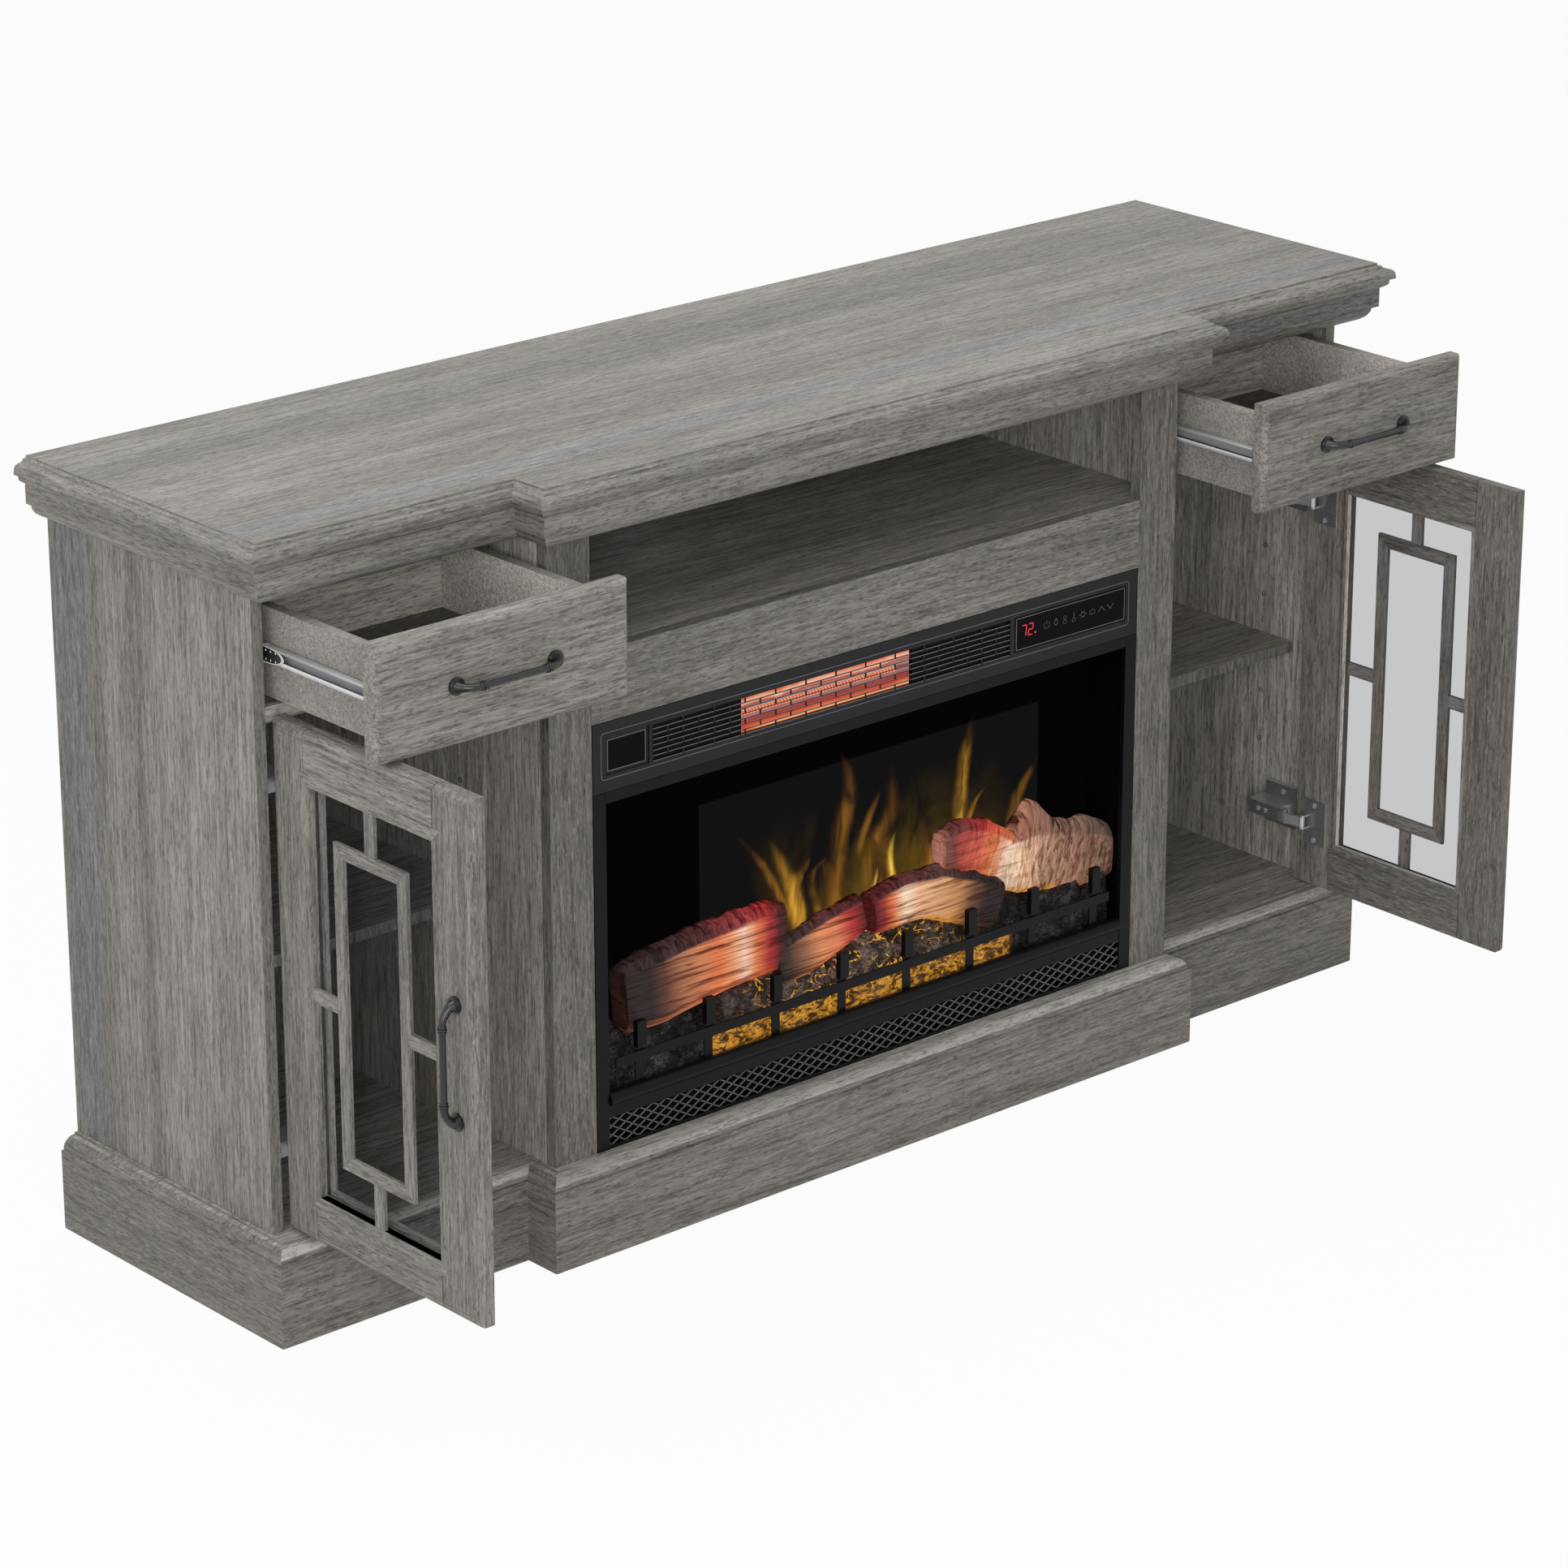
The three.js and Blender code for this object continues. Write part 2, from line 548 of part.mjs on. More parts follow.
// Adds one named piece in the row frame.
function add(name, item, finish) {
  const geometry = asGeometry(item);
  const flat = geometry.index ? geometry.toNonIndexed() : geometry.clone();
  flat.translate(0, ORIGIN_DEPTH, 0);
  flat.computeVertexNormals();
  const mesh = new THREE.Mesh(flat, new THREE.MeshStandardMaterial(finishes[finish]));
  mesh.name = name;
  group.add(mesh);
}

// Adds a piece built on the left and its mirror image on the right.
function addPair(name, geometry, finish) {
  add(`${name}_left`, geometry, finish);
  add(`${name}_right`, mirrored(geometry), finish);
}

// Plan outline of the stepped front, moved outwards by a reach except at the back.
function steppedRing(reach, height) {
  const wide = TOP_HALF_WIDTH + reach;
  const narrow = CENTRE_HALF_WIDTH + reach;
  const wing = -WING_DEPTH - reach;
  const centre = -CENTRE_DEPTH - reach;
  return [
    [-wide, 0], [-wide, wing], [-narrow, wing], [-narrow, centre],
    [narrow, centre], [narrow, wing], [wide, wing], [wide, 0],
  ].map(([x, y]) => new THREE.Vector3(x, y, height));
}

// Top board with its moulded edge.
add('top_board', loft(topReachShares.map((share, n) => steppedRing(
  share * TOP_EDGE_REACH,
  TOP_HEIGHT - topDropShares[n] * TOP_EDGE_HEIGHT,
))), 'wood');

// Crown frame: a moulded ring around the heads of the uprights.
const crownRings = [
  steppedRing(CROWN_REACH, CROWN_TOP),
  steppedRing(CROWN_REACH, CROWN_STEP_HEIGHT),
];
for (let n = 0; n <= ROUND_STEPS; n += 1) {
  const angle = (n / ROUND_STEPS) * (Math.PI / 2);
  crownRings.push(steppedRing(
    -CROWN_STEP_INSET - CROWN_ROUND * (1 - Math.cos(angle)),
    CROWN_STEP_HEIGHT - CROWN_ROUND * Math.sin(angle),
  ));
}
crownRings.push(steppedRing(-CROWN_STEP_INSET - CROWN_ROUND - CROWN_QUIRK, CROWN_BOTTOM));
const crownCore = loft([CROWN_BOTTOM - CUTTER, CROWN_TOP + CUTTER].map((height) => [
  [-SIDE_OUTER, CUTTER], [-SIDE_OUTER, -SIDE_DEPTH], [-PARTITION_OUTER, -SIDE_DEPTH],
  [-PARTITION_OUTER, -PARTITION_DEPTH], [PARTITION_OUTER, -PARTITION_DEPTH],
  [PARTITION_OUTER, -SIDE_DEPTH], [SIDE_OUTER, -SIDE_DEPTH], [SIDE_OUTER, CUTTER],
].map(([x, y]) => new THREE.Vector3(x, y, height))));
add('crown_frame', cut(loft(crownRings), crownCore), 'wood');

// Bottom board with its rounded edge, on a plinth frame.
const BOTTOM_UNDERSIDE = FLOOR_HEIGHT - BOTTOM_THICKNESS;
const bottomRings = [steppedRing(-LEDGE_INSET, FLOOR_HEIGHT)];
for (let n = 0; n <= ROUND_STEPS; n += 1) {
  const angle = (n / ROUND_STEPS) * (Math.PI / 2);
  bottomRings.push(steppedRing(
    -LEDGE_INSET + (LEDGE_INSET - BOTTOM_EDGE_INSET) * Math.sin(angle),
    BOTTOM_UNDERSIDE + (BOTTOM_THICKNESS - LEDGE_STEP) * Math.cos(angle),
  ));
}
add('bottom_board', loft(bottomRings), 'wood');

const plinthInner = [0, BOTTOM_UNDERSIDE].map((height) => steppedRing(-PLINTH_WALL, height));
for (const ring of plinthInner) {
  ring[0].y = -PLINTH_WALL;
  ring[ring.length - 1].y = -PLINTH_WALL;
}
plinthInner[0].forEach((point) => { point.z -= CUTTER; });
plinthInner[1].forEach((point) => { point.z += CUTTER; });
add('plinth_frame', cut(
  loft([steppedRing(0, 0), steppedRing(0, BOTTOM_UNDERSIDE)]),
  loft(plinthInner),
), 'wood');
add('plinth_support_rail', box(
  -RAIL_HALF_WIDTH,
  RAIL_HALF_WIDTH,
  -CENTRE_DEPTH + PLINTH_WALL,
  -PLINTH_WALL,
  0,
  BOTTOM_UNDERSIDE,
), 'wood');

// Uprights, with the pins that carry the cupboard shelves.
const SHELF_UNDERSIDE = SHELF_TOP - SHELF_THICKNESS;
function shelfPins(wallFace, inward) {
  return [PIN_FRONT, PIN_BACK].map((depth) => box(
    wallFace - inward * PIN_SIZE,
    wallFace + inward * PIN_LENGTH,
    -depth - PIN_SIZE / 2,
    -depth + PIN_SIZE / 2,
    SHELF_UNDERSIDE - PIN_SIZE,
    SHELF_UNDERSIDE,
  ));
}
addPair('side_panel', join(
  box(-SIDE_OUTER, -SIDE_INNER, -SIDE_DEPTH, -BACK_THICKNESS, FLOOR_HEIGHT, CROWN_TOP),
  ...shelfPins(-SIDE_INNER, 1),
), 'wood');
addPair('partition', join(
  box(-PARTITION_OUTER, -PARTITION_INNER, -PARTITION_DEPTH, -BACK_THICKNESS, FLOOR_HEIGHT, CROWN_TOP),
  ...shelfPins(-PARTITION_OUTER, -1),
), 'wood');
addPair('pilaster', box(
  -PARTITION_OUTER,
  -PILASTER_INNER,
  -PILASTER_DEPTH,
  -PARTITION_DEPTH,
  FLOOR_HEIGHT,
  CROWN_BOTTOM,
), 'wood');

// Back panel with one cable hole to each bay.
const cupboardMiddle = (SIDE_INNER + PARTITION_OUTER) / 2;
const cableHole = (x, z) => bar('y', [x, z], CABLE_HOLE_RADIUS, -BACK_THICKNESS - CUTTER, CUTTER, CABLE_HOLE_SIDES);
add('back_panel', cut(
  box(-SIDE_OUTER, SIDE_OUTER, -BACK_THICKNESS, 0, FLOOR_HEIGHT, CROWN_TOP),
  cableHole(-cupboardMiddle, CUPBOARD_CABLE_HEIGHT),
  cableHole(cupboardMiddle, CUPBOARD_CABLE_HEIGHT),
  cableHole(0, MEDIA_CABLE_HEIGHT),
), 'wood');

// Flat boards between the uprights.
add('media_shelf', box(
  -PARTITION_INNER,
  PARTITION_INNER,
  -PARTITION_DEPTH,
  -BACK_THICKNESS,
  MEDIA_SHELF_TOP - MEDIA_SHELF_THICKNESS,
  MEDIA_SHELF_TOP,
), 'wood');
add('mantel_rail', box(
  -PILASTER_INNER,
  PILASTER_INNER,
  -PILASTER_DEPTH,
  -PARTITION_DEPTH,
  RAIL_BOTTOM,
  MEDIA_SHELF_TOP,
), 'wood');
addPair('drawer_divider', box(
  -SIDE_INNER,
  -PARTITION_OUTER,
  -SIDE_DEPTH,
  -BACK_THICKNESS,
  DIVIDER_TOP - DIVIDER_THICKNESS,
  DIVIDER_TOP,
), 'wood');
addPair('cupboard_shelf', box(
  -SIDE_INNER + SHELF_SIDE_GAP,
  -PARTITION_OUTER - SHELF_SIDE_GAP,
  -SHELF_DEPTH,
  -BACK_THICKNESS - SHELF_SIDE_GAP,
  SHELF_UNDERSIDE,
  SHELF_TOP,
), 'wood');

// Rounded front: rectangles in X and Z that shrink towards the face at -Y.
function roundedFront(x0, x1, z0, z1, backDepth) {
  const ringAt = (inset, depth) => rectangle(x0 + inset, x1 - inset, z0 + inset, z1 - inset)
    .map(([x, z]) => new THREE.Vector3(x, -depth, z));
  const rings = [ringAt(0, backDepth)];
  const shoulder = backDepth + FRONT_THICKNESS - FRONT_ROUND;
  for (let n = 0; n <= ROUND_STEPS; n += 1) {
    const angle = (n / ROUND_STEPS) * (Math.PI / 2);
    rings.push(ringAt(FRONT_ROUND * (1 - Math.cos(angle)), shoulder + FRONT_ROUND * Math.sin(angle)));
  }
  return loft(rings);
}

// Bar pull on a face at depth zero, its bar along X, standing out towards -Y.
function barPull() {
  const half = [
    [PULL_HALF_SPAN, 0], [PULL_HALF_SPAN, ROSETTE_HEIGHT],
    [PULL_HALF_SPAN - PULL_RADIUS, PULL_REACH - PULL_RADIUS * 2],
    [(PULL_HALF_SPAN + PULL_COLLAR_AT) / 2, PULL_REACH - PULL_RADIUS / 2],
    [PULL_COLLAR_AT, PULL_REACH],
  ];
  const points = [
    ...half.map(([x, out]) => new THREE.Vector3(-x, -out, 0)),
    ...half.slice().reverse().map(([x, out]) => new THREE.Vector3(x, -out, 0)),
  ];
  const path = new THREE.CatmullRomCurve3(points);
  const outline = [];
  for (let n = 0; n < PULL_SIDES; n += 1) {
    const angle = (n / PULL_SIDES) * 2 * Math.PI;
    outline.push(new THREE.Vector2(PULL_RADIUS * Math.cos(angle), PULL_RADIUS * Math.sin(angle)));
  }
  const tube = new THREE.ExtrudeGeometry(new THREE.Shape(outline), {
    steps: PULL_STEPS,
    extrudePath: path,
    bevelEnabled: false,
  });
  const parts = [tube];
  for (const side of [-1, 1]) {
    const rosette = new THREE.CylinderGeometry(
      ROSETTE_RADIUS * ROSETTE_TOP_SHARE,
      ROSETTE_RADIUS,
      ROSETTE_HEIGHT,
      ROSETTE_SIDES,
    );
    rosette.rotateX(Math.PI / 2);
    rosette.translate(side * PULL_HALF_SPAN, -ROSETTE_HEIGHT / 2, 0);
    parts.push(rosette);
    const collar = side * PULL_COLLAR_AT;
    parts.push(bar(
      'x',
      [-PULL_REACH, 0],
      PULL_COLLAR_RADIUS,
      collar - PULL_COLLAR_HALF,
      collar + PULL_COLLAR_HALF,
      ROSETTE_SIDES,
    ));
  }
  const keep = box(
    -PULL_HALF_SPAN - CUTTER,
    PULL_HALF_SPAN + CUTTER,
    -PULL_REACH - CUTTER,
    0,
    -CUTTER,
    CUTTER,
  );
  return asGeometry(join(...parts).intersect(asManifold(keep)));
}

// Drawers, drawn out by the slide-out.
const drawerMiddle = (DRAWER_INNER + DRAWER_OUTER) / 2;
const outDepth = FRONT_BACK_DEPTH + DRAWER_SLIDE_OUT;
addPair('drawer_front', roundedFront(-DRAWER_OUTER, -DRAWER_INNER, DRAWER_BOTTOM, DRAWER_TOP, outDepth), 'wood');
addPair('drawer_tray', cut(
  box(-TRAY_OUTER, -TRAY_INNER, -outDepth, -outDepth + TRAY_LENGTH, TRAY_BOTTOM, TRAY_TOP),
  box(
    -TRAY_OUTER + TRAY_WALL,
    -TRAY_INNER - TRAY_WALL,
    -outDepth + TRAY_WALL,
    -outDepth + TRAY_LENGTH - TRAY_WALL,
    TRAY_BOTTOM + TRAY_FLOOR_RISE + TRAY_FLOOR_SHEET,
    TRAY_TOP + CUTTER,
  ),
  box(
    -TRAY_OUTER + TRAY_WALL,
    -TRAY_INNER - TRAY_WALL,
    -outDepth + TRAY_WALL,
    -outDepth + TRAY_LENGTH - TRAY_WALL,
    TRAY_BOTTOM - CUTTER,
    TRAY_BOTTOM + TRAY_FLOOR_RISE,
  ),
), 'wood');
const drawerPull = barPull();
drawerPull.translate(-drawerMiddle, -outDepth - FRONT_THICKNESS, DRAWER_PULL_HEIGHT);
addPair('drawer_pull', drawerPull, 'pull');

// Slide members: channels along Y, the outer on the cabinet and the inner on the tray.
function channel(web, inward, flange, halfHeight, front, length) {
  const tip = web + inward * flange;
  const face = web + inward * SLIDE_METAL;
  const outline = [
    [web, -halfHeight], [tip, -halfHeight], [tip, -halfHeight + SLIDE_METAL],
    [face, -halfHeight + SLIDE_METAL], [face, halfHeight - SLIDE_METAL],
    [tip, halfHeight - SLIDE_METAL], [tip, halfHeight], [web, halfHeight],
  ].map(([x, z]) => [x, z + SLIDE_HEIGHT]);
  return frontPlate(outline, [], front, front - length);
}
const slideFront = FRONT_BACK_DEPTH - SLIDE_FRONT_GAP;
const slideOut = outDepth - SLIDE_FRONT_GAP;
addPair('slide_outer_cabinet', channel(
  -SIDE_INNER, 1, OUTER_FLANGE, OUTER_HALF_HEIGHT, slideFront, SLIDE_LENGTH,
), 'steel');
addPair('slide_outer_drawer', channel(
  -TRAY_OUTER, -1, INNER_FLANGE, INNER_HALF_HEIGHT, slideOut, SLIDE_LENGTH,
), 'steel');
addPair('slide_inner_cabinet', channel(
  -PARTITION_OUTER, -1, OUTER_FLANGE, OUTER_HALF_HEIGHT, slideFront, SLIDE_LENGTH,
), 'steel');
addPair('slide_inner_drawer', channel(
  -TRAY_INNER, 1, INNER_FLANGE, INNER_HALF_HEIGHT, slideOut, SLIDE_LENGTH,
), 'steel');

// Doors are drawn shut, with the hinge edge at -DRAWER_OUTER, then turned and set open.
function openDoor(item) {
  const geometry = asGeometry(item);
  geometry.rotateZ(-Math.PI / 2);
  geometry.translate(
    -DOOR_OPEN_FACE + FRONT_BACK_DEPTH + FRONT_THICKNESS,
    -FRONT_BACK_DEPTH - DRAWER_OUTER,
    0,
  );
  return geometry;
}
const doorFace = FRONT_BACK_DEPTH + FRONT_THICKNESS;
const fromHinge = (distance) => -DRAWER_OUTER + distance;
const doorWidth = DRAWER_OUTER - DRAWER_INNER;

// Opening through the door, grown by a margin, between two depths from the face.
function doorOpening(margin, near, far) {
  return box(
    fromHinge(STILE - margin),
    fromHinge(doorWidth - STILE + margin),
    -doorFace + near,
    -doorFace + far,
    DOOR_BOTTOM + RAIL_LOW - margin,
    DOOR_TOP - RAIL_HIGH + margin,
  );
}
function beadOpening() {
  const ringAt = (margin, depth) => rectangle(
    fromHinge(STILE - margin),
    fromHinge(doorWidth - STILE + margin),
    DOOR_BOTTOM + RAIL_LOW - margin,
    DOOR_TOP - RAIL_HIGH + margin,
  ).map(([x, z]) => new THREE.Vector3(x, -depth, z));
  const slope = (FRONT_THICKNESS - GLASS_FRONT - GLASS_THICKNESS);
  return loft([
    ringAt(-BEAD_WIDTH, FRONT_BACK_DEPTH + slope + GLASS_THICKNESS / 2),
    ringAt(-BEAD_WIDTH, FRONT_BACK_DEPTH + slope),
    ringAt(-BEAD_WIDTH + BEAD_SLOPE, FRONT_BACK_DEPTH),
    ringAt(-BEAD_WIDTH + BEAD_SLOPE, FRONT_BACK_DEPTH - CUTTER),
  ]);
}
const doorMiddle = (RING_START + RING_END) / 2;
const ringMiddle = (RING_BOTTOM + RING_TOP) / 2;
const latticeBack = doorFace - LATTICE_THICKNESS;
function stub(u0, u1, z0, z1) {
  return box(fromHinge(u0), fromHinge(u1), -doorFace, -latticeBack, z0, z1);
}
const doorFrame = join(
  cut(
    roundedFront(-DRAWER_OUTER, -DRAWER_INNER, DOOR_BOTTOM, DOOR_TOP, FRONT_BACK_DEPTH),
    doorOpening(0, -CUTTER, GLASS_FRONT + GLASS_THICKNESS / 2),
    doorOpening(GLASS_REBATE, GLASS_FRONT, GLASS_FRONT + GLASS_THICKNESS),
    beadOpening(),
    ...HINGE_HEIGHTS.map((height) => bar(
      'y',
      [fromHinge(CUP_CENTRE), height],
      CUP_RADIUS + CUP_GAP,
      -FRONT_BACK_DEPTH - CUP_DEPTH - CUP_GAP,
      CUTTER - FRONT_BACK_DEPTH,
      CUP_SIDES,
    )),
  ),
  frontPlate(
    rectangle(fromHinge(RING_START), fromHinge(RING_END), RING_BOTTOM, RING_TOP),
    [rectangle(
      fromHinge(RING_START + LATTICE_BAR),
      fromHinge(RING_END - LATTICE_BAR),
      RING_BOTTOM + LATTICE_BAR,
      RING_TOP - LATTICE_BAR,
    )],
    doorFace,
    latticeBack,
  ),
  stub(
    STILE - BITE,
    RING_START + BITE,
    ringMiddle - LATTICE_BAR / 2,
    ringMiddle + LATTICE_BAR / 2,
  ),
  stub(
    RING_END - BITE,
    doorWidth - STILE + BITE,
    ringMiddle - LATTICE_BAR / 2,
    ringMiddle + LATTICE_BAR / 2,
  ),
  stub(
    doorMiddle - LATTICE_BAR / 2,
    doorMiddle + LATTICE_BAR / 2,
    DOOR_BOTTOM + RAIL_LOW - BITE,
    RING_BOTTOM + BITE,
  ),
  stub(
    doorMiddle - LATTICE_BAR / 2,
    doorMiddle + LATTICE_BAR / 2,
    RING_TOP - BITE,
    DOOR_TOP - RAIL_HIGH + BITE,
  ),
);
addPair('door_frame', openDoor(doorFrame), 'wood');
addPair('door_glass', openDoor(doorOpening(
  GLASS_REBATE - GLASS_GAP,
  GLASS_FRONT + GLASS_PLAY,
  GLASS_FRONT + GLASS_THICKNESS - GLASS_PLAY,
)), 'glass');
const doorPull = barPull();
doorPull.rotateY(Math.PI / 2);
doorPull.translate(fromHinge(doorWidth - DOOR_PULL_FROM_EDGE), -doorFace, DOOR_PULL_HEIGHT);
addPair('door_pull', openDoor(doorPull), 'pull');

// Concealed hinges: fixed arm with a pin, crank link, and a cup with its own pin in the door.
function eye(centre, radius, low, high) {
  return bar('z', centre, radius, low, high, PIVOT_SIDES);
}
function strip(from, to, low, high) {
  const along = new THREE.Vector2(to[0] - from[0], to[1] - from[1]).normalize();
  const across = new THREE.Vector2(-along.y, along.x).multiplyScalar(LINK_HALF_WIDTH);
  return loft([low, high].map((height) => [
    [from[0] + across.x, from[1] + across.y], [to[0] + across.x, to[1] + across.y],
    [to[0] - across.x, to[1] - across.y], [from[0] - across.x, from[1] - across.y],
  ].map(([x, y]) => new THREE.Vector3(x, y, height))));
}
HINGE_HEIGHTS.forEach((height, index) => {
  const place = index === 0 ? 'lower' : 'upper';
  const bounds = [[height - EAR_END, height - EAR_START], [height + EAR_START, height + EAR_END]];
  const plateFace = -SIDE_INNER + PLATE_THICKNESS;
  const armFace = FIXED_PIVOT[0] + PIVOT_EYE_RADIUS;
  addPair(`hinge_arm_${place}`, join(
    box(-SIDE_INNER, plateFace, -PLATE_FRONT, -PLATE_BACK, height - PLATE_HALF_HEIGHT, height + PLATE_HALF_HEIGHT),
    box(plateFace - BITE, armFace, -ARM_FRONT, -ARM_BACK, height - EAR_END, height + EAR_END),
    ...bounds.flatMap(([low, high]) => [
      eye(FIXED_PIVOT, PIVOT_EYE_RADIUS, low, high),
      box(
        FIXED_PIVOT[0] - PIVOT_EYE_RADIUS,
        armFace,
        FIXED_PIVOT[1],
        -ARM_FRONT + BITE,
        low,
        high,
      ),
    ]),
    eye(FIXED_PIVOT, PIVOT_PIN_RADIUS, height - EAR_END, height + EAR_END),
  ), 'steel');
  const low = height - LINK_HALF_HEIGHT;
  const high = height + LINK_HALF_HEIGHT;
  addPair(`hinge_link_${place}`, cut(
    join(
      eye(FIXED_PIVOT, PIVOT_EYE_RADIUS, low, high),
      eye(DOOR_PIVOT, PIVOT_EYE_RADIUS, low, high),
      eye(LINK_BEND, LINK_HALF_WIDTH, low, high),
      strip(FIXED_PIVOT, LINK_BEND, low, high),
      strip(LINK_BEND, DOOR_PIVOT, low, high),
    ),
    eye(FIXED_PIVOT, PIVOT_BORE_RADIUS, low - CUTTER, high + CUTTER),
    eye(DOOR_PIVOT, PIVOT_BORE_RADIUS, low - CUTTER, high + CUTTER),
  ), 'steel');
  const innerFace = -DOOR_OPEN_FACE + FRONT_THICKNESS;
  addPair(`hinge_cup_${place}`, join(
    box(
      innerFace,
      innerFace + CUP_PLATE_THICKNESS,
      -FRONT_BACK_DEPTH - CUP_PLATE_END,
      -FRONT_BACK_DEPTH - CUP_PLATE_START,
      height - CUP_HALF_HEIGHT,
      height + CUP_HALF_HEIGHT,
    ),
    bar(
      'x',
      [-FRONT_BACK_DEPTH - CUP_CENTRE, height],
      CUP_RADIUS,
      innerFace - CUP_DEPTH,
      innerFace + CUP_PLATE_THICKNESS / 2,
      CUP_SIDES,
    ),
    ...bounds.flatMap(([earLow, earHigh]) => [
      eye(DOOR_PIVOT, PIVOT_EYE_RADIUS, earLow, earHigh),
      box(
        innerFace + CUP_PLATE_THICKNESS / 2,
        DOOR_PIVOT[0],
        DOOR_PIVOT[1] - PIVOT_EYE_RADIUS,
        DOOR_PIVOT[1] + PIVOT_EYE_RADIUS,
        earLow,
        earHigh,
      ),
    ]),
    eye(DOOR_PIVOT, PIVOT_PIN_RADIUS, height - EAR_END, height + EAR_END),
  ), 'steel');
});

// Fire front: lower frame with sill and lattice band, and the control bar above it.
const insertBack = INSERT_DEPTH - INSERT_SHEET;
const latticePitch = (2 * LATTICE_HALF_WIDTH) / LATTICE_COUNT;
const latticeHoles = [];
for (let n = 0; n < LATTICE_COUNT; n += 1) {
  const x = -LATTICE_HALF_WIDTH + (n + 0.5) * latticePitch;
  const z = (LATTICE_LOW + LATTICE_HIGH) / 2;
  const halfWidth = (latticePitch / 2) * (1 - latticeWebShare);
  const halfHeight = ((LATTICE_HIGH - LATTICE_LOW) / 2) * (1 - latticeWebShare);
  latticeHoles.push([[x - halfWidth, z], [x, z - halfHeight], [x + halfWidth, z], [x, z + halfHeight]]);
}
add('fire_frame', join(
  frontPlate(
    rectangle(-INSERT_HALF_WIDTH, INSERT_HALF_WIDTH, FLOOR_HEIGHT, CONTROL_SPLIT - CONTROL_SEAM),
    [rectangle(-FIRE_HALF_WIDTH, FIRE_HALF_WIDTH, FIRE_BOTTOM, FIRE_TOP), ...latticeHoles],
    INSERT_DEPTH,
    insertBack,
  ),
  bar('x', [-insertBack - SILL_SET, SILL_HEIGHT], SILL_RADIUS, -SILL_HALF_LENGTH, SILL_HALF_LENGTH, SILL_SIDES),
), 'black');

const slotPitch = (GRILLE_END - GRILLE_START) / GRILLE_COLUMNS;
const rowPitch = (GRILLE_HIGH - GRILLE_LOW) / GRILLE_ROWS;
const grilleSlots = [];
for (let row = 0; row < GRILLE_ROWS; row += 1) {
  const staggered = row % 2 === 1;
  const edges = [GRILLE_START];
  for (let n = staggered ? 0.5 : 1; n < GRILLE_COLUMNS; n += 1) edges.push(GRILLE_START + n * slotPitch);
  edges.push(GRILLE_END);
  const z0 = GRILLE_LOW + row * rowPitch + GRILLE_WEB / 2;
  for (let n = 0; n < edges.length - 1; n += 1) {
    grilleSlots.push(box(
      edges[n] + GRILLE_WEB / 2,
      edges[n + 1] - GRILLE_WEB / 2,
      -INSERT_DEPTH - CUTTER,
      -insertBack + CUTTER,
      z0,
      z0 + rowPitch - GRILLE_WEB,
    ));
  }
}
add('control_bar', cut(
  frontPlate(
    rectangle(-INSERT_HALF_WIDTH, INSERT_HALF_WIDTH, CONTROL_SPLIT, INSERT_TOP),
    [rectangle(DISPLAY_START, DISPLAY_END, DISPLAY_LOW, DISPLAY_HIGH)],
    INSERT_DEPTH,
    insertBack,
  ),
  join(...grilleSlots),
  box(
    REMOTE_START,
    REMOTE_END,
    -INSERT_DEPTH - CUTTER,
    -INSERT_DEPTH + REMOTE_RECESS,
    GRILLE_LOW,
    GRILLE_HIGH,
  ),
), 'black');
add('display_panel', box(
  DISPLAY_START + DISPLAY_GAP,
  DISPLAY_END - DISPLAY_GAP,
  -insertBack - DISPLAY_THICKNESS,
  -insertBack,
  DISPLAY_LOW + DISPLAY_GAP,
  DISPLAY_HIGH - DISPLAY_GAP,
), 'display');

// Steel shell: one box with a deck between the fire chamber and the heater chamber.
const chamber = SHELL_HALF_WIDTH - SHELL_WALL;
add('fire_shell', cut(
  box(-SHELL_HALF_WIDTH, SHELL_HALF_WIDTH, -insertBack, -SHELL_BACK, FLOOR_HEIGHT, SHELL_TOP),
  box(
    -chamber,
    chamber,
    -insertBack - CUTTER,
    -SHELL_BACK - SHELL_WALL,
    FLOOR_HEIGHT + SHELL_WALL,
    DECK_HEIGHT,
  ),
  box(
    -chamber,
    chamber,
    -insertBack - CUTTER,
    -SHELL_BACK - SHELL_WALL,
    DECK_HEIGHT + SHELL_WALL,
    SHELL_TOP - SHELL_WALL,
  ),
  bar(
    'x',
    [-ROD_DEPTH, ROD_HEIGHT],
    ROD_RADIUS + ROD_GAP,
    -SHELL_HALF_WIDTH - CUTTER,
    SHELL_HALF_WIDTH + CUTTER,
    ROD_SIDES,
  ),
), 'black');

// Quartz heater: a reflector trough with two tubes between its ends.
add('quartz_heater', join(
  cut(
    box(HEATER_START, HEATER_END, -HEATER_FRONT, -HEATER_BACK, HEATER_LOW, HEATER_HIGH),
    box(
      HEATER_START + HEATER_WALL,
      HEATER_END - HEATER_WALL,
      -HEATER_FRONT - CUTTER,
      -HEATER_BACK - HEATER_WALL,
      HEATER_LOW + HEATER_WALL,
      HEATER_HIGH - HEATER_WALL,
    ),
  ),
  box(
    HEATER_START,
    HEATER_END,
    -HEATER_BACK - HEATER_WALL,
    -HEATER_BACK,
    DECK_HEIGHT + SHELL_WALL,
    HEATER_LOW + HEATER_WALL,
  ),
  ...TUBE_HEIGHTS.map((height) => bar(
    'x',
    [-TUBE_DEPTH, height],
    TUBE_RADIUS,
    HEATER_START + HEATER_WALL / 2,
    HEATER_END - HEATER_WALL / 2,
    TUBE_SIDES,
  )),
), 'quartz');

